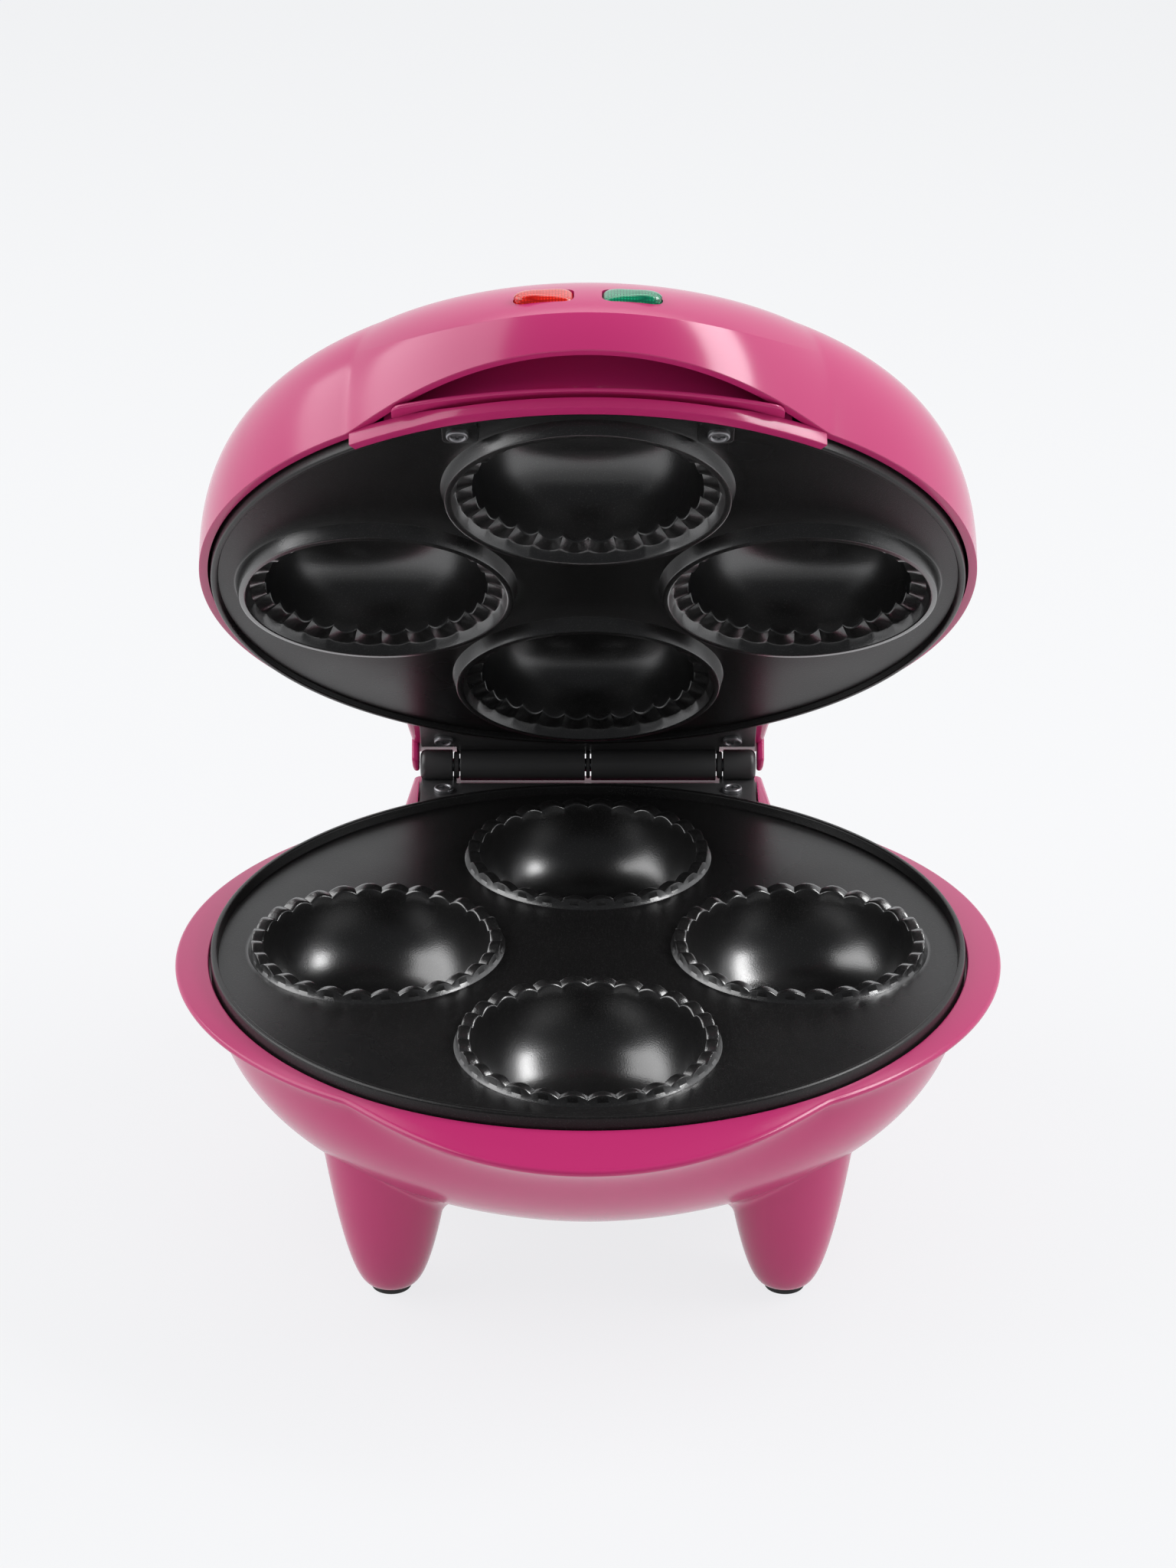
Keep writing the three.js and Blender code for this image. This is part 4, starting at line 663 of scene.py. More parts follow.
# Shell, hinge housing, legs and posts joined, with the insides, wells, slots and sockets cut out
def makeBase():
    housing = meshOf("hingeHousingBase", [hingeHousing(-1, hinge["lowerTop"], hinge["lowerDepth"])])
    roundEdges(housing, hinge["edgeRound"])
    shell = meshOf("baseHousing", [baseOutside()])
    combine(shell, [housing], "UNION")
    low = machine["cutBelow"]
    posts = meshOf("posts", atWells(pillar(underside["postRadius"], low, underside["postTop"])))
    combine(posts, [placed("room", shell.data.copy())], "INTERSECT")
    combine(shell, [meshOf("leg", [legSkin(k)]) for k in range(4)], "UNION")
    cutAway(shell, [baseInside(), hingeHousing(-1, hinge["lowerFace"], hinge["lowerDepth"], machine["wall"])])
    combine(shell, [posts], "UNION")
    wells = atWells(pillar(underside["wellRadius"], low, -base["bowlDepth"] + underside["wellDepth"]))
    leadSolid = pillar(underside["leadRadius"], *underside["leadReach"], 64)
    lead = gridSurface(movedTo(leadSolid, leadPlace, axis="y"))
    socket = pillar(foot["socketRadius"], *foot["socketReach"])
    sockets = [gridSurface(movedTo(socket, (x * legPlace, y * legPlace, 0)))
               for x in (-1, 1) for y in (-1, 1)]
    face, top = -hinge["lowerFace"], hinge["roomTop"]
    rooms = [hingeBox(hinge["roomHalfWidth"], hinge["roomNear"], face, top),
             hingeBox(hinge["cheekHalfWidth"], machine["hingeY"] - hinge["cheekBack"], face, top)]
    cutAway(shell, [*wells, *ventSlots(), lead, *sockets, *rooms])
    finishPiece(shell, magentaPlastic, "base", ["base_shell"])


makeBase()
print("base housing made")

for place, x, y in (("rear_right", 1, 1), ("rear_left", -1, 1), ("front_left", -1, -1),
                    ("front_right", 1, -1)):
    low = -legs["length"] - foot["height"]
    seat = -legs["length"] - foot["seatGap"]
    plugTop = -legs["length"] + foot["plugHeight"]
    corner = arcPoints((foot["radius"] - foot["round"], low + foot["round"]), foot["round"], -90, 0, 7)
    profile = [(0, low), *corner, (foot["radius"], seat), (foot["plugRadius"], seat),
               (foot["plugRadius"], plugTop), (0, plugTop)]
    padPoints = movedTo(revolve(profile, 64), (legPlace * x, legPlace * y, 0))
    footPad = meshOf(f"footPad_{place}", [gridSurface(padPoints)])
    finishPiece(footPad, rubber, "base", [f"foot_pad_{place}"])
print("foot pads made")


# Baking plates. Steps are (out, up) in millimetres from the ring that the name says
plates = {
    "thickness": 2.4,
    "flatInset": 1.9,
    "lipWidth": 2.1,
    "lipFoot": [(0.0, -0.3), (0.0, 0.02), (0.12, 0.3)],
    "lipInside": [(0.32, 0.55), (0.42, 0.25), (0.62, 0.07), (0.9, 0.0)],
    "lipOutside": [(-0.75, 0.0), (-0.35, 0.1), (-0.1, 0.35), (0.0, 0.75)],
    "flutes": 28,
    "fluteColumns": 14,
    "crimpPower": 0.85,
    "markReach": 0.3,           # how far the cups' clear coat passes their feet
    "markFade": 0.4,
}
lowerCup = {
    "flat": -2.8,
    "rim": 0.0,
    "skirt": -6.5,
    "footRadius": 35.9,
    "footSteps": [(0.0, 0.0), (-0.15, 0.25)],
    "crestRadius": 34.9,
    "crestFoot": [(0.25, 1.0)],
    "crestSteps": [(0.06, -0.25), (-0.02, -0.08), (-0.2, 0.0)],
    "slopeRadii": (34.1, 33.4, 32.7, 32.2),
    "slopeWidth": 3.2,
    "slopeFall": 0.35,
    "mouthRadius": 31.7,
    "mouthSteps": [(0.12, -0.42), (-0.06, -0.62), (-0.14, -0.9)],
    "hill": 0.3,
    "crimp": 1.4,
    "throatDrop": 0.4,
    "throatInset": 0.35,
    "depth": 25.0,
    "endRadius": 12.0,
    "endRings": (8.0, 4.0),
    "controlShares": [(0.985, 0.55), (0.76, 1.0)],
}
upperCup = {
    "flat": 2.6,
    "rim": 1.0,
    "skirt": 10.0,
    "footRadius": 39.4,
    "footSteps": [(0.0, 0.0), (-0.12, -0.3)],
    "crestRadius": 38.3,
    "crestSteps": [(0.12, 0.5), (-0.05, 0.15), (-0.4, 0.0)],
    "collarRadius": 36.5,
    "collarSteps": [(0.3, 0.0), (0.0, 0.2), (-0.15, 0.6)],
    "crest": -1.5,
    "stepRadius": 35.2,
    "stepHeight": 1.2,
    "stepSteps": [(0.25, -0.3), (0.0, 0.0)],
    "bandShares": (0.15, 0.3, 0.5, 0.7, 0.88),
    "bandRise": 1.2,
    "mouthRadius": 31.0,
    "mouthSteps": [(0.12, -0.1), (-0.05, 0.15), (-0.12, 0.5)],
    "outerCrimp": 0.7,
    "innerCrimp": 1.7,
    "throatRise": 0.9,
    "throatInset": 0.3,
    "crown": 25.5,
    "endRadius": 10.0,
    "endRings": (6.0, 3.0),
    "controlShares": [(0.99, 0.62), (0.72, 1.0)],
}


# Nothing on a rounded hill and one in the sharp valley between two hills: one less a power of a sine
def crimpWave(angle):
    return 1 - np.abs(np.sin(plates["flutes"] * angle / 2)) ** plates["crimpPower"]


# Rings at steps out and up from a radius and a height
def stepped(radius, height, steps):
    return [(radius + out, height + up) for out, up in steps]


# Inside of a cup: a cubic curve from its throat to the level of its end, then flat rings to the middle
def wellRows(cup, throat, level):
    mouth = cup["mouthRadius"] - cup["throatInset"]
    run = level - throat
    pulls = [(r * mouth, throat + z * run) for r, z in cup["controlShares"]]
    curve = [(mouth, throat), *pulls, (cup["endRadius"], level)]
    rows = [(r, z) for r, z in bezier(curve, np.linspace(0, 1, 40))]
    return rows + [(r, level) for r in cup["endRings"]]


# Rings of a lower cup as (radius, height): a foot, a crest lowered by the crimp, a slope that falls as a
# square, a fluted mouth and the well
def lowerCupRows(a):
    c = lowerCup
    hill = c["hill"] - c["crimp"] * crimpWave(a)
    rows = stepped(c["footRadius"], c["flat"], c["footSteps"])
    rows += stepped(c["crestRadius"], c["flat"], c["crestFoot"])
    rows += stepped(c["crestRadius"], hill, c["crestSteps"])
    rows += [(r, hill - c["slopeFall"] * ((c["crestRadius"] - r) / c["slopeWidth"]) ** 2)
             for r in c["slopeRadii"]]
    rows += stepped(c["mouthRadius"], hill, c["mouthSteps"])
    return rows + wellRows(c, c["hill"] - 2 * c["crimp"] - c["throatDrop"], -c["depth"])


# Rings of an upper cup: a collar, a step inside it, a band whose crimp grows in a straight line towards the
# mouth, and the well
def upperCupRows(a):
    c = upperCup
    wave = crimpWave(a)
    outer = c["stepHeight"] + c["outerCrimp"] * wave
    inner = c["stepHeight"] + c["bandRise"] + c["innerCrimp"] * wave
    rows = stepped(c["footRadius"], c["flat"], c["footSteps"])
    rows += stepped(c["crestRadius"], c["crest"], c["crestSteps"])
    rows += stepped(c["collarRadius"], c["crest"], c["collarSteps"])
    rows += stepped(c["stepRadius"], outer, c["stepSteps"])
    for share in c["bandShares"]:
        radius = c["stepRadius"] + (c["mouthRadius"] - c["stepRadius"]) * share
        rows.append((radius, outer + (inner - outer) * share))
    rows += stepped(c["mouthRadius"], inner, c["mouthSteps"])
    return rows + wellRows(c, c["stepHeight"] + c["bandRise"] + c["innerCrimp"] + c["throatRise"], c["crown"])


# A cup and the quarter of the flat round it, as rings about the cup's own middle. Each ring on the flat goes
# a share of the way from the cup's foot to the quarter's edge, which is the plate's arc or the line to the
# next quarter. The back is the same skin moved away, and a wall joins the two along the arc
def plateQuarter(cup, rowsOf, side, quarter):
    circle = machine["cupCircle"]
    flatRadius = machine["plateRadius"] - plates["flatInset"]
    a = fullTurn(plates["flutes"] * plates["fluteColumns"])
    corner = np.arctan2(flatRadius * np.sin(np.pi / 4), flatRadius * np.cos(np.pi / 4) - circle)
    a[np.argmin(np.abs(a - corner))] = corner
    a[np.argmin(np.abs(a - turn + corner))] = turn - corner
    across, along = np.sin(a), np.cos(a)
    toArc = -circle * along + np.sqrt(np.maximum(flatRadius ** 2 - (circle * across) ** 2, 0))
    with np.errstate(divide="ignore", invalid="ignore"):
        toSides = [circle / (s * across - along) for s in (-1, 1)]
    toSides = [np.where((d > 0) & np.isfinite(d), d, 1e6) for d in toSides]
    edge = np.minimum(toArc, np.minimum(*toSides))
    rows = [around(np.full_like(a, r), a, z) for r, z in rowsOf(a)][::-1]
    start = cup["footRadius"]
    rows += [around(start + (edge - start) * share, a, cup["flat"]) for share in np.linspace(0.1, 1, 8)]
    front = quarterTurned(np.stack(rows) + np.array([0, -circle, 0]), quarter)
    vertices, faces = gridSurface(front, capped="start")
    back = front + np.array([0, 0, side * plates["thickness"]])
    backVertices, backFaces = gridSurface(back, capped="start")
    low = len(vertices)
    faces = faces + [[low + k for k in face[::-1]] for face in backFaces]
    rim = (len(rows) - 1) * len(a)
    k = np.arange(len(a))
    after = (k + 1) % len(a)
    onArc = (toArc <= edge + 1e-6) & (toArc[after] <= edge[after] + 1e-6)
    walls = np.stack([rim + k, rim + after, low + rim + after, low + rim + k], -1)[onArc]
    return np.concatenate([vertices, backVertices]), faces + walls.tolist()


# Ring round the plate: a low inside step, a softly rounded crest and a skirt that stands in the housing
def plateLip(cup, side):
    radius = machine["plateRadius"]
    inner = radius - plates["lipWidth"]
    profile = [(inner + out, cup["flat"] - side * up) for out, up in plates["lipFoot"]]
    profile += [(inner + out, cup["rim"] + side * up) for out, up in plates["lipInside"]]
    profile += [(radius + out, cup["rim"] + side * up) for out, up in plates["lipOutside"]]
    profile += [(radius, cup["skirt"]), (inner, cup["skirt"])]
    return gridSurface(revolve(profile, 480), loops=True)


# Four quarters, each with its cup, and the lip round them
def makePlate(name, cup, rowsOf, side):
    quarters = [plateQuarter(cup, rowsOf, side, k) for k in range(4)]
    return meshOf(name, [*quarters, plateLip(cup, side)], side > 0)


pads = {
    "x": 34.0,
    "y": 92.4,
    "inward": 0.7,
    "width": 9.6,
    "length": 11.0,
    "height": 1.0,
    "sink": 1.0,
    "round": 2.0,
    "edge": [(0.99, 0.35), (0.97, 0.08), (0.93, 0.0)],      # shares of the outline and heights over the top
    "collarRadius": 38.2,
    "collarReach": (-6.0, 8.0),
}


# Low boss with rounded corners that carries a plate screw; its edges slope to the plate
def padSolid(side):
    halfW, halfL, r = pads["width"] / 2, pads["length"] / 2, pads["round"]
    corners = [((halfW - r) * x, (halfL - r) * y, start) for x, y, start in (
        (1, 1, 0), (-1, 1, 90), (-1, -1, 180), (1, -1, 270))]
    outline = np.concatenate([arcPoints((x, y), r, start, start + 90, 9) for x, y, start in corners])
    flat, top = upperCup["flat"], upperCup["flat"] - pads["height"]
    levels = [(1.0, flat + pads["sink"]), (1.0, flat), *[(scale, top + up) for scale, up in pads["edge"]]]
    centre = np.array([side * (pads["x"] - pads["inward"]), -pads["y"], 0])
    return gridSurface(stacked(outline, levels) + centre)


# Marks the points within a radius of a cup's middle with one, and the flat between the cups with nothing;
# the lid's points are turned back to the closed lid first
def markBowls(plate, radius, onLid):
    places = np.empty(len(plate.data.vertices) * 3)
    plate.data.vertices.foreach_get("co", places)
    x, y, z = (places.reshape(-1, 3) * 1000 - origin).T
    if onLid:
        opened = machine["lidOpen"] * degree
        y, z = y - machine["hingeY"], z - machine["hingeZ"]
        y = machine["hingeY"] + y * np.cos(opened) - z * np.sin(opened)
    circle = machine["cupCircle"]
    away = np.min([np.hypot(x - side * circle, y - front * circle) for side, front in (
        (0, -1), (1, 0), (0, 1), (-1, 0))], 0)
    marks = plate.data.attributes.new("bowl", "FLOAT", "POINT")
    share = (radius + plates["markReach"] - away) / plates["markFade"]
    marks.data.foreach_set("value", np.clip(share, 0, 1))


lowerPlate = makePlate("lowerBakingPlate", lowerCup, lowerCupRows, -1)
markBowls(lowerPlate, lowerCup["footRadius"], False)
finishPiece(lowerPlate, nonStick, "base", ["lower_plate"])
upperPlate = makePlate("upperBakingPlate", upperCup, upperCupRows, 1)
markBowls(upperPlate, upperCup["footRadius"], True)
finishPiece(upperPlate, nonStick, "lid", ["upper_plate"])
platePads = meshOf("platePads", [padSolid(side) for side in (-1, 1)], True)
collarSolid = pillar(pads["collarRadius"], *pads["collarReach"], 96)
cutAway(platePads, [gridSurface(movedTo(collarSolid, (0, -machine["cupCircle"], 0)))], True)
finishPiece(platePads, nonStick, "lid", [])
print("baking plates made")


# Lid: dome with the handle hood, cheeks, finger pocket and lamps
lid = {
    "domeCurve": [(108.3, 4.0), (110.2, 51.8), (81.7, 58.0), (0.0, 58.0)],
    "edgeHeight": 4.0,
    "archRise": 6.5,
    "browReach": 12.8,
    "browHalfAngle": 36.0,
    "creaseHeight": 22.0,
    "creaseRise": 8.0,
    "fadeShare": 0.42,
    "fadePower": 1.5,
    "rim": ((2.0, 0.16), (0.16, 0.16), (0.06, 0.1)),    # shares of the wall inwards, and drops
    "insideFoot": -4.0,
    "plateRoom": (-1.0, 10.3),
    "columns": 480,
}
domeShares = np.linspace(0, 1, 800)
domeTable = bezier(lid["domeCurve"], domeShares)


# Share of the dome's curve at which it reaches a height
def domeShare(height):
    return np.interp(height, domeTable[:, 1], domeShares)


# Height of the crease over the hood, which rises with the cube of the way to the hood's side
def browCrease(angle):
    away = np.abs(np.arctan2(np.sin(angle), np.cos(angle))) / (lid["browHalfAngle"] * degree)
    return lid["creaseHeight"] + lid["creaseRise"] * np.minimum(away, 1) ** 3


# The dome's profile at an angle, pushed out at the front: full up to the hood's crease, and fading above
def lidPoint(angle, share):
    crease = domeShare(browCrease(angle))
    p = bezier(lid["domeCurve"], share)
    past = np.maximum(0, (share - crease) / lid["fadeShare"])
    fade = np.maximum(0, 1 - past) ** lid["fadePower"]
    pushed = p[..., 0] + lid["browReach"] * frontSwell(angle, lid["browHalfAngle"]) * fade
    return around(pushed, angle, p[..., 1])


# Outside of the lid from its lower edge to the crown, and the inside, moved in along the normals
def lidSkins():
    a = fullTurn(lid["columns"])
    edge = domeShare(lid["edgeHeight"] + lid["archRise"] * frontSwell(a, lid["browHalfAngle"]))
    crease = domeShare(browCrease(a))
    shares = [edge + (crease - edge) * part for part in (*np.linspace(0, 0.97, 22), 0.99, 1)]
    shares += [crease + (1 - crease) * part
               for part in (0.0015, 0.004, *np.linspace(0, 0.985, 80)[2:] ** 1.15)]
    outside = np.stack([lidPoint(a, share) for share in shares])
    alongRow = np.roll(outside, -1, 1) - np.roll(outside, 1, 1)
    normal = np.cross(alongRow, np.gradient(outside, axis=0))
    normal /= np.linalg.norm(normal, axis=-1, keepdims=True)
    inside = outside - machine["wall"] * normal
    wall = inside[0] - outside[0]
    rim = np.stack([outside[0] + wall * s + np.array([0, 0, -drop]) for s, drop in lid["rim"]])
    start = inside[0] * np.array([1, 1, 0]) + np.array([0, 0, lid["insideFoot"]])
    return gridSurface(np.concatenate([rim, outside])), gridSurface(np.concatenate([start[None], inside]))


lamps = {
    "spacing": 23.0,
    "y": 112.5,
    "length": 15.2,
    "width": 9.6,
    "narrow": 5.6,
    "depth": 6.0,
    "dome": 1.3,
    "domePowers": (3.2, 0.62),
    "round": 3.4,
    "holeReach": (-12.0, 8.0),
}


# Middle of a lamp on the slope above the hood's crease, with the directions across, up the slope and out
def lampFrame(side):
    angle = np.arctan2(side * lamps["spacing"] / 2, lamps["y"])
    shares = np.linspace(domeShare(browCrease(angle)), 1, 3000)
    slope = lidPoint(np.full_like(shares, angle), shares)
    k = int(np.argmin(np.abs(-slope[:, 1] - lamps["y"])))
    across = np.array([1.0, 0, 0])
    up = slope[k + 30] - slope[k - 30]
    up[0] = 0
    up /= np.linalg.norm(up)
    middle = slope[k].copy()
    middle[0] = side * lamps["spacing"] / 2
    return middle, across, up, np.cross(across, up)


# Four corners, wide towards the middle of the machine, each turned by a square curve
def lampOutline(side, grow):
    half, wide = side * (lamps["length"] / 2 + grow), lamps["width"] / 2 + grow
    narrow, r = lamps["narrow"] / 2 + grow, lamps["round"]
    corners = np.array([(-half, -wide), (half, -narrow), (half, narrow), (-half, wide)])
    points = []
    for k in range(4):
        corner = corners[k]
        ends = [corners[k - 1] - corner, corners[(k + 1) % 4] - corner]
        start, end = (corner + r * d / np.linalg.norm(d) for d in ends)
        s = np.linspace(0, 1, 14)[:, None]
        points.append((1 - s) ** 2 * start + 2 * (1 - s) * s * corner + s ** 2 * end)
    return np.concatenate(points)


# Solid of a lamp's outline at several heights over the slope, each with its own scale
def lampLevels(side, outline, levels):
    middle, across, up, out = lampFrame(side)
    rows = [middle + scale * (outline[:, :1] * across + outline[:, 1:] * up) + height * out
            for scale, height in levels]
    return gridSurface(np.stack(rows))


cheek = {"tip": 1.5, "round": 0.8}


# Walls beside the barrel: an outline in the (y, z) plane from the bracket's room to the side of the tapered
# housing
def cheekSolid(side):
    y, z, r, tip = machine["hingeY"], machine["hingeZ"], barrels["radius"], cheek["tip"]
    face, back = hinge["upperFace"], hinge["back"]
    top = face + machine["wall"]
    outline = np.array([(y - r, top), (y - r + tip / 2, z), (y - tip, z - tip), (y + tip, z - tip),
                        (y + r - tip, z + tip), (back, face), (back, top)])
    vertices, faces = sideways(prism(outline, hinge["roomHalfWidth"], hinge["cheekHalfWidth"]))
    outer = vertices[:, 0] > hinge["roomHalfWidth"] + 1
    vertices[outer, 0] = housingHalfWidth(vertices[outer, 1])
    vertices[:, 0] *= side
    return vertices, faces


# Dome, hinge housing and cheeks joined, with the insides, the plate's room and the lamps' holes cut out
def makeLid():
    outside, inside = lidSkins()
    housing = meshOf("hingeHousingLid", [hingeHousing(1, hinge["upperFace"], hinge["upperDepth"])], True)
    roundEdges(housing, hinge["edgeRound"])
    shell = meshOf("lidHousing", [outside], True)
    combine(shell, [housing], "UNION")
    hollow = hingeHousing(1, hinge["upperFace"], hinge["upperDepth"], machine["wall"])
    cutAway(shell, [inside, hollow], True)
    cheeks = [meshOf("cheek", [cheekSolid(side)], True) for side in (-1, 1)]
    for piece in cheeks:
        roundEdges(piece, cheek["round"])
    combine(shell, cheeks, "UNION")
    hole = [(1, height) for height in lamps["holeReach"]]
    holes = [lampLevels(side, lampOutline(side, machine["gap"]), hole) for side in (-1, 1)]
    plate = gridSurface(pillar(machine["plateRadius"] + machine["gap"], *lid["plateRoom"], 240))
    room = hingeBox(hinge["roomHalfWidth"], hinge["roomNear"], hinge["roomLow"], hinge["upperFace"])
    cutAway(shell, [*holes, plate, room], True)
    finishPiece(shell, magentaPlastic, "lid", ["lid_shell"])


makeLid()
print("lid housing made")

first, second = lamps["domePowers"]
crown = [(s, lamps["dome"] * (1 - s ** first) ** second) for s in np.linspace(1, 0.08, 18)]
for side, place, material, slot in ((-1, "power", redLens, "red_lens"),
                                    (1, "ready", greenLens, "green_lens")):
    lens = lampLevels(side, lampOutline(side, 0), [(1, -lamps["depth"]), *crown])
    finishPiece(meshOf(f"{place}Lamp", [lens], True), material, "lid", [f"{place}_lamp_lens"])
print("lamps made")


# Finger pocket: band, wall and grip rib
pocket = {
    "halfAngle": 35.2,
    "low": 0.4,
    "bandThickness": 2.8,
    "bandSwell": 1.3,
    "bandTop": 4.7,
    "lowEdge": (0.45, 0.12),    # how far the band's lower edge is cut back, and its corner
    "faceEdge": (0.4, 0.1),
    "faceTop": 3.3,
    "grooveRadius": 107.0,
    "wallTop": 25.0,
    "wallThickness": 1.9,
    "coveReach": 2.6,
    "coveHeight": 10.0,
    "coveShare": 0.9,
    "roofGap": 1.5,
    "ribHalfWidth": 51.0,
    "ribReach": 110.4,
    "ribCurve": 135.0,
    "ribEnd": 2.4,
    "ribTip": 0.35,             # share of the rib's thickness left at its ends
    "ribRoot": 1.0,
    "ribFade": 18.0,
    "ribThickness": 1.2,
    "ribShare": 0.8,
    "ribHeight": 4.5,
    "crease": 0.02,             # least step between two rows of the section
    "least": 0.05,              # least height that is left for the cove
    "sections": 193,
}


# Height under the lid's skin above the pocket's wall at each angle
def roofHeights(angles, wall):
    shares = np.linspace(0, 1, 600)
    roof = []
    for angle in angles:
        p = lidPoint(np.full_like(shares, angle), shares)
        clear = np.hypot(p[:, 0], p[:, 1]) - machine["wall"] > wall + pocket["roofGap"]
        last = np.nonzero(clear)[0]
        roof.append(p[last[-1], 2] - machine["wall"] if len(last) else pocket["bandTop"])
    return np.clip(np.array(roof), pocket["bandTop"], pocket["wallTop"])


# Section of the band and the wall above it, carried round the front; the wall reaches up to the hood and
# flares into the grip rib below as a quarter of an ellipse
def pocketCrescent():
    inner = machine["plateRadius"] + machine["gap"]
    wall, band = inner + pocket["wallThickness"], inner + pocket["bandThickness"]
    half = pocket["halfAngle"] * degree
    a = np.linspace(-half, half, pocket["sections"])
    height = roofHeights(a, wall)
    within = np.clip((pocket["ribHalfWidth"] - 1 - np.abs(wall * np.sin(a))) / pocket["ribFade"], 0, 1)
    within = within * within * (3 - 2 * within)
    low, rib, crease, least = pocket["low"], pocket["ribHeight"], pocket["crease"], pocket["least"]
    (lowCut, lowCorner), (faceCut, faceCorner) = pocket["lowEdge"], pocket["faceEdge"]
    top = pocket["bandTop"] * (1 - within) + (rib + pocket["ribThickness"] * pocket["ribShare"]) * within
    face = (top - least) * (1 - within) + pocket["faceTop"] * within
    band = band + pocket["bandSwell"] * within
    groove = (band - lowCut) * (1 - within) + pocket["grooveRadius"] * within
    reach = pocket["coveReach"] * within + crease
    rise = np.minimum(pocket["coveHeight"], np.maximum(height - top, least) * pocket["coveShare"])
    columns = [(inner, low), (band - lowCut, low), (band - lowCorner, low + lowCorner), (band, low + lowCut),
               (band, face - faceCut), (band - faceCorner, face - faceCorner), (band - faceCut, face),
               (groove, face + crease), (groove, top - crease)]
    columns += [(wall + reach * (1 - np.sin(t)), top + rise * (1 - np.cos(t)) + crease / 2)
                for t in np.linspace(0, 0.5, 14) * np.pi]
    columns += [(radius, np.maximum(height, top + 2 * least)) for radius in (wall, inner)]
    return gridSurface(np.stack([around(r, a, z) for r, z in columns], 1))


# Flat shelf whose front edge is an arc with rounded ends: the section shrinks to a point as a circle does
# over the last stretch, and its nose is a half circle
def gripRib():
    thick, tip = pocket["ribThickness"], pocket["ribTip"]
    x = pocket["ribHalfWidth"] * np.sin(np.linspace(-90, 90, 181) * degree)
    drawn = np.clip(1 - (pocket["ribHalfWidth"] - np.abs(x)) / pocket["ribEnd"], 0, 1)
    taper = np.sqrt(np.maximum(1 - drawn ** 2, pocket["crease"] ** 2))
    centre = pocket["ribCurve"] - pocket["ribReach"]
    edge = centre - np.sqrt(pocket["ribCurve"] ** 2 - x ** 2) + pocket["ribEnd"] * (1 - taper)
    radius = machine["plateRadius"] + machine["gap"] + pocket["ribRoot"]
    rear = -np.sqrt(radius ** 2 - x ** 2)
    half = thick / 2 * (tip + (1 - tip) * taper)
    middle = pocket["ribHeight"] + thick / 2 + 0 * x
    section = [(rear, middle - half)]
    section += [(edge + half * (1 - np.cos(t)), middle + half * np.sin(t))
                for t in np.linspace(-90, 90, 13) * degree]
    section += [(rear, middle + half)]
    return gridSurface(np.stack([np.stack([x, y, z], -1) for y, z in section], 1))


liner = meshOf("pocketLiner", [pocketCrescent(), gripRib()], True)
finishPiece(liner, magentaPlastic, "lid", ["handle_liner"])
print("finger pocket made")


# Hinge: two folded brackets on one pin

# Solid of revolution about the hinge's axis, from (radius, x) points
def onAxis(profile, columns, loops=True):
    points = movedTo(revolve(profile, columns), (0, machine["hingeY"], machine["hingeZ"]), axis="x")
    return gridSurface(points, loops=loops)


# Barrel along x with a bore for the pin; each end has its own edge round
def tube(x0, x1, startRound, endRound):
    r, bore = barrels["radius"], barrels["pinRadius"] + barrels["boreGap"]
    start = arcPoints((r - startRound, x0 + startRound), startRound, -90, 0, 9)
    end = arcPoints((r - endRound, x1 - endRound), endRound, 0, 90, 9)
    return onAxis(np.concatenate([[(bore, x0)], start, end, [(bore, x1)]]), 96)


# Dark ring on the pin that fills a gap between two barrels
def spacer(x0, x1):
    bore, r = barrels["pinRadius"] + barrels["spacerBoreGap"], barrels["spacerRadius"]
    low, high, edge = x0 + barrels["spacerGap"], x1 - barrels["spacerGap"], barrels["spacerEdge"]
    return onAxis([(bore, low), (r - edge, low), (r, low + edge), (r, high - edge), (r - edge, high),
                   (bore, high)], 64)


# Plan of a bracket's tab: a bay round the plate in front and straight edges at the barrels
def tabPlan(middle, ends):
    half = barrels["tabHalfWidth"]
    near = machine["plateRadius"] + machine["gap"]
    inside = barrels["halfLength"] - barrels["knuckle"] - barrels["gap"] / 2
    x = half * np.linspace(1, -1, 41)
    bay = np.stack([x, np.sqrt(near ** 2 - x ** 2)], -1)
    return np.concatenate([bay, [(-half, ends), (-inside, ends), (-inside, middle), (inside, middle),
                                 (inside, ends), (half, ends)]])


# Tab with soft edges and its barrels, kept as separate shells of one mesh
def makeBracket(name, plan, low, tubes, onLid, replaced):
    plate = meshOf(name, [prism(plan, low, low + barrels["tabThickness"])], onLid)
    roundEdges(plate, barrels["tabRound"], 2)
    rolled = meshOf(name + "Barrels", tubes, onLid)
    whole = bmesh.new()
    whole.from_mesh(plate.data)
    whole.from_mesh(rolled.data)
    whole.to_mesh(plate.data)
    whole.free()
    bpy.data.objects.remove(rolled)
    finishPiece(plate, blackSteel, "lid" if onLid else "base", [replaced])


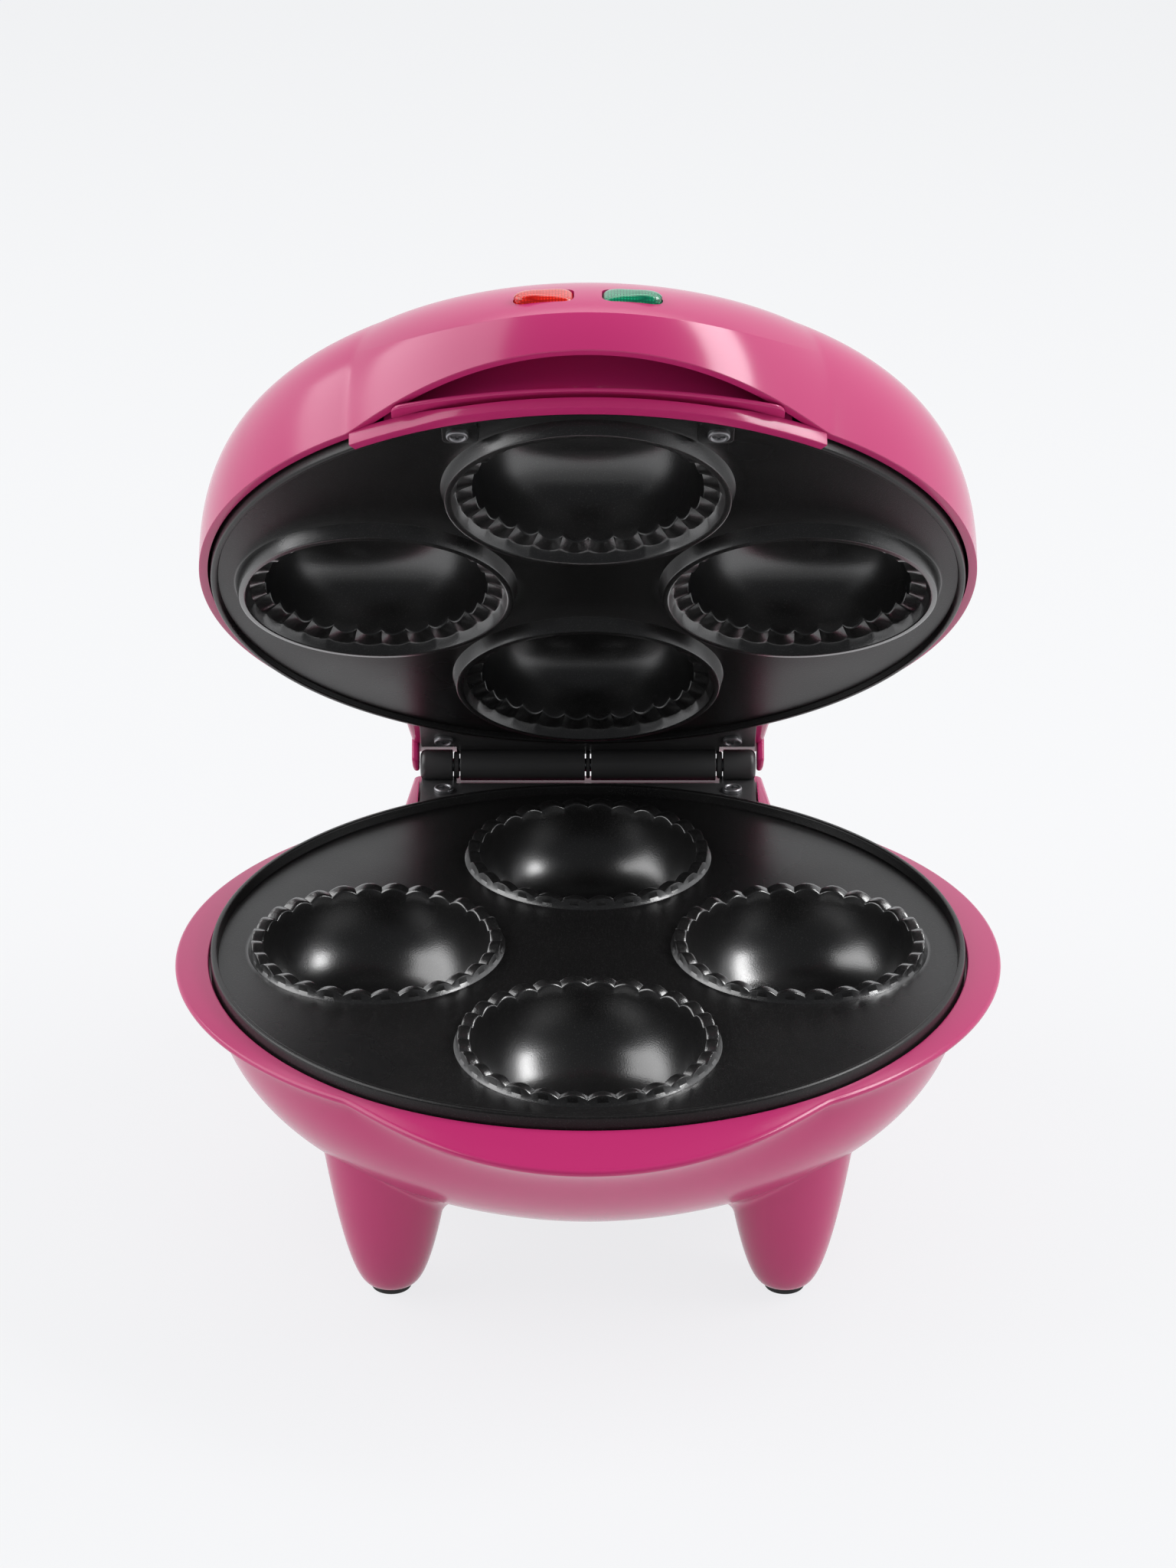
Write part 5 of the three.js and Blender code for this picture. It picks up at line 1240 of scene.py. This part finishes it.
onBarrels = machine["hingeY"]
clear = machine["hingeY"] - barrels["radius"] - 2 * machine["gap"]
outerEnd, innerEnd = barrels["halfLength"], barrels["halfLength"] - barrels["knuckle"]
longEnd, middle = innerEnd - barrels["gap"], barrels["middleGap"] / 2
edge, dome = barrels["edge"], barrels["dome"]
knuckles = [tube(innerEnd, outerEnd, edge, dome), tube(-outerEnd, -innerEnd, dome, edge),
            spacer(longEnd, innerEnd), spacer(-middle, middle), spacer(-innerEnd, -longEnd)]
longBarrels = [tube(middle, longEnd, edge, edge), tube(-longEnd, -middle, edge, edge)]
makeBracket("lowerBracket", tabPlan(clear, onBarrels), barrels["lowerTop"] - barrels["tabThickness"],
            knuckles, False, "lower_hinge_bracket")
makeBracket("upperBracket", tabPlan(onBarrels, clear), barrels["upperBottom"],
            longBarrels, True, "upper_hinge_bracket")
half, r, edge = barrels["halfLength"] - barrels["pinShort"], barrels["pinRadius"], barrels["pinEdge"]
pinProfile = [(0, -half), (r - edge, -half), (r, -half + edge), (r, half - edge), (r - edge, half), (0, half)]
pin = meshOf("hingeRod", [onAxis(pinProfile, 48, loops=False)])
finishPiece(pin, brightSteel, "base", ["hinge_pin"])
print("hinge made")


# Screws
screws = {
    "headRadius": 2.95,
    "headHeight": 1.3,
    "beadRadius": 0.55,
    "beadEnd": 150,             # degrees
    "face": [(1.15, 0.4)],      # from the head's edge inwards, and down from its top
    "middleDrop": 0.25,
    "slotWidth": 0.75,
    "slotLength": 3.3,
    "slotDepth": 0.9,
    "shankRadius": 1.4,
    "hingeShank": 7,
    "plateShank": 10,
    "baseShank": 8,
    "hingeX": 43.5,
    "hingeY": 107,
    "hingeSink": 0.05,
    "sink": 0.02,
}


# Pan head with a cross recess on a plain shank, its head up before it is placed
def makeScrew(name, place, flip, onLid, shank, replaced):
    r, h, bead, thin = screws["headRadius"], screws["headHeight"], screws["beadRadius"], screws["shankRadius"]
    edge = arcPoints((r - bead, h - bead), bead, 0, screws["beadEnd"], 12)
    face = [(r - inwards, h - down) for inwards, down in screws["face"]]
    profile = [(0, -shank), (thin, -shank), (thin, 0), (r, 0), *edge, *face, (0, h - screws["middleDrop"])]
    head = meshOf(name, [gridSurface(movedTo(revolve(profile, 64), place, flip=flip))], onLid)
    halfL, halfW = screws["slotLength"] / 2, screws["slotWidth"] / 2
    cuts = []
    for x, y in ((halfL, halfW), (halfW, halfL)):
        vertices, faces = prism([(-x, -y), (x, -y), (x, y), (-x, y)], h - screws["slotDepth"], h + 1)
        cuts.append((movedTo(vertices, place, flip=flip), faces))
    cutAway(head, cuts, onLid)
    bright = replaced.startswith("base_screw")
    finishPiece(head, brightSteel if bright else screwSteel, "lid" if onLid else "base",
                [replaced])


for side, place in ((-1, "left"), (1, "right")):
    x, y, shank = screws["hingeX"] * side, screws["hingeY"], screws["hingeShank"]
    makeScrew(f"lowerHingeScrew_{place}", (x, y, barrels["lowerTop"] + screws["hingeSink"]), False, False,
              shank, f"lower_hinge_screw_{place}")
    makeScrew(f"upperHingeScrew_{place}", (x, y, barrels["upperBottom"] - screws["hingeSink"]), True, True,
              shank, f"upper_hinge_screw_{place}")
    seat = upperCup["flat"] - pads["height"] - screws["sink"]
    makeScrew(f"plateScrew_{place}", (pads["x"] * side, -pads["y"], seat), True, True,
              screws["plateShank"], f"upper_plate_screw_{place}")
for k, place in enumerate(("front", "right", "rear", "left")):
    x, y, _ = around(underside["wellCircle"], k * np.pi / 2, 0.0)
    seat = -base["bowlDepth"] + underside["wellDepth"] - screws["sink"]
    makeScrew(f"baseScrew_{place}", (x, y, seat), True, False, screws["baseShank"], f"base_screw_{place}")
print("screws made")


# Bush in the back of the base, where the mains lead would enter
bush = {
    "bore": 3.6,
    "neck": 5.6,
    "flange": 7.6,
    "face": 1.8,
    "seat": 0.05,
    "inside": -3,
    "flangeRound": 0.7,
    "boreRound": 0.6,
}
r, face = bush["flangeRound"], bush["face"]
bushEdge = arcPoints((bush["flange"] - r, face - r), r, 0, 90, 7)
r = bush["boreRound"]
bushMouth = arcPoints((bush["bore"] + r, face - r), r, 90, 180, 7)
bushFoot = [(bush["bore"], bush["inside"]), (bush["neck"], bush["inside"]), (bush["neck"], bush["seat"]),
            (bush["flange"], bush["seat"])]
bushPoints = movedTo(revolve(np.concatenate([bushFoot, bushEdge, bushMouth]), 96), leadPlace, axis="y")
leadBush = meshOf("leadBush", [gridSurface(bushPoints, loops=True)])
finishPiece(leadBush, rubber, "base", ["cord_gland"])
print("lead bush made")

# Inner parts keep their solids
inner = {
    "lower_heating_element": elementTube,
    "upper_heating_element": elementTube,
    "lower_reflector": millSheet,
    "upper_reflector": millSheet,
    "lower_reflector_screw": brightSteel,
    "upper_reflector_screw": brightSteel,
    "thermostat": steatite,
    "thermal_fuse": brightSteel,
    "terminal_block": steatite,
    "power_lamp_neon": lampGlass,
    "ready_lamp_neon": lampGlass,
}
for node, material in inner.items():
    for slot in frame["nodes"][node].material_slots:
        slot.material = material
print("inner parts finished")


# Studio
studio = {
    "cameraY": -1.1057,
    "cameraZ": 0.6195,
    "cameraPitch": 65.85,       # degrees from straight down
    "focalPixels": 5727.5,
    "imageHeight": 2048,
    "sensor": 36,
    "backdrop": srgb(244, 245, 247),
    "floorHalf": 6,
    "floorShade": 0.85,
    "floorGlow": 0.88,
    "floorCatch": 0.1,
    "worldLevel": 0.48,
    "frontDim": 0.3,            # share of the floor's paleness that reflections find far in front
    "frontReach": (-0.5, -0.12),
    "ceiling": srgb(76, 77, 79),
    "ceilingReach": (0.4, 0.75),
    "forwardReach": (-0.15, -0.6),
}
# Name, place, target, direction of the long side, length, height and power of each box lamp
boxLamps = [
    ("leftBox", (-0.95, 0.05, 0.87), (0, -0.03, 0.15), (0.25, 0.9, 0.3), 1.35, 1.0, 11),
    ("rightBox", (0.84, 0.09, 0.9), (0, -0.03, 0.12), (-0.4, 0.8, 0.4), 1.15, 0.3, 11),
    ("rearBox", (0, 0.95, 1.3), (0, 0, 0.15), (1, 0, 0), 1.3, 0.5, 4.2),
]


# A box lamp that looks at a target, its long side as near to a direction as that allows
def addLight(name, place, target, along, length, height, power):
    data = bpy.data.lights.new(name, "AREA")
    data.shape = "RECTANGLE"
    data.size, data.size_y = length, height
    data.energy = power
    light = placed(name, data)
    light.location = place
    back = np.array(place) - np.array(target)
    back /= np.linalg.norm(back)
    side = np.array(along) - np.dot(along, back) * back
    side /= np.linalg.norm(side)
    light.rotation_euler = Matrix(np.stack([side, np.cross(back, side), back], 1).tolist()).to_euler()


for boxLamp in boxLamps:
    addLight(*boxLamp)


# One for what the camera sees directly, in a reflection or through glass, and nothing for other light
def seenDirectly(tree):
    path = addNode(tree, "LightPath").outputs
    total = path["Is Camera Ray"]
    for name in ("Is Glossy Ray", "Is Transmission Ray"):
        total = addNode(tree, "Math", {0: total, 1: path[name]}, operation="MAXIMUM").outputs["Value"]
    return total


# Pale to the camera and in reflections, and a plain matt grey to the light that it sends back
def paleSurface(name, shade):
    material = bpy.data.materials.new(name)
    material.use_nodes = True
    tree = material.node_tree
    matt = tree.nodes["Principled BSDF"]
    setInputs(tree, matt, {"Base Color": (shade, shade, shade, 1), "Roughness": 1, "Specular IOR Level": 0})
    caught = addNode(tree, "BsdfDiffuse", {"Color": (*[studio["floorCatch"]] * 3, 1)})
    parts = addNode(tree, "SeparateXYZ", {"Vector": addNode(tree, "TexCoord").outputs["Object"]})
    start, end = studio["frontReach"]
    dim = addNode(tree, "MapRange", {"Value": parts.outputs["Y"], "From Min": start, "From Max": end,
                                     "To Min": studio["frontDim"]})
    camera = addNode(tree, "LightPath").outputs["Is Camera Ray"]
    plain = addNode(tree, "Math", {0: dim.outputs["Result"], 1: camera}, operation="MAXIMUM")
    strength = addNode(tree, "Math", {0: plain.outputs["Value"], 1: studio["floorGlow"]},
                       operation="MULTIPLY")
    glow = addNode(tree, "Emission", {"Color": studio["backdrop"], "Strength": strength.outputs["Value"]})
    both = addNode(tree, "AddShader", {0: caught.outputs["BSDF"], 1: glow.outputs["Emission"]})
    mix = addNode(tree, "MixShader", {"Fac": seenDirectly(tree), 1: matt.outputs["BSDF"],
                                      2: both.outputs["Shader"]})
    setInputs(tree, tree.nodes["Material Output"], {"Surface": mix.outputs["Shader"]})
    return material


# Plain light for matt surfaces; the camera and reflections see the backdrop, and reflections from above or
# from far in front see the darker ceiling
def makeWorld():
    world = bpy.data.worlds.new("studioWorld")
    bpy.context.scene.world = world
    world.use_nodes = True
    tree = world.node_tree
    background = tree.nodes["Background"]
    setInputs(tree, background, {"Color": (1, 1, 1, 1), "Strength": studio["worldLevel"]})
    parts = addNode(tree, "SeparateXYZ", {"Vector": addNode(tree, "TexCoord").outputs["Generated"]})
    ramps = []
    for axis, reach, kind in (("Z", studio["ceilingReach"], "SMOOTHSTEP"),
                              ("Y", studio["forwardReach"], "LINEAR")):
        ramp = addNode(tree, "MapRange", {"Value": parts.outputs[axis], "From Min": reach[0],
                                          "From Max": reach[1]}, interpolation_type=kind)
        ramps.append(ramp.outputs["Result"])
    darker = addNode(tree, "Math", {0: ramps[0], 1: ramps[1]}, operation="MAXIMUM").outputs["Value"]
    camera = addNode(tree, "LightPath").outputs["Is Camera Ray"]
    unseen = addNode(tree, "Math", {0: darker, 1: camera}, operation="SUBTRACT", use_clamp=True)
    paling = addNode(tree, "Mix", {"A": studio["backdrop"], "B": studio["ceiling"],
                                   "Factor": unseen.outputs["Value"]}, data_type="RGBA")
    shown = addNode(tree, "Background", {"Color": paling.outputs["Result"]})
    mix = addNode(tree, "MixShader", {"Fac": seenDirectly(tree), 1: background.outputs["Background"],
                                      2: shown.outputs["Background"]})
    setInputs(tree, tree.nodes["World Output"], {"Surface": mix.outputs["Shader"]})


half = studio["floorHalf"]
floorMesh = bpy.data.meshes.new("floor")
floorMesh.from_pydata([(-half, -half, 0), (half, -half, 0), (half, half, 0), (-half, half, 0)], [],
                      [(0, 1, 2, 3)])
floor = placed("floor", floorMesh)
floor.data.materials.append(paleSurface("paleFloor", studio["floorShade"]))
makeWorld()

cameraData = bpy.data.cameras.new("camera")
cameraData.sensor_fit = "VERTICAL"
cameraData.sensor_height = studio["sensor"]
cameraData.lens = studio["focalPixels"] / studio["imageHeight"] * studio["sensor"]
camera = placed("camera", cameraData)
camera.location = (0, studio["cameraY"], studio["cameraZ"])
camera.rotation_euler = (studio["cameraPitch"] * degree, 0, 0)
bpy.context.scene.camera = camera
bpy.context.scene.view_settings.view_transform = "Standard"
print("studio made")
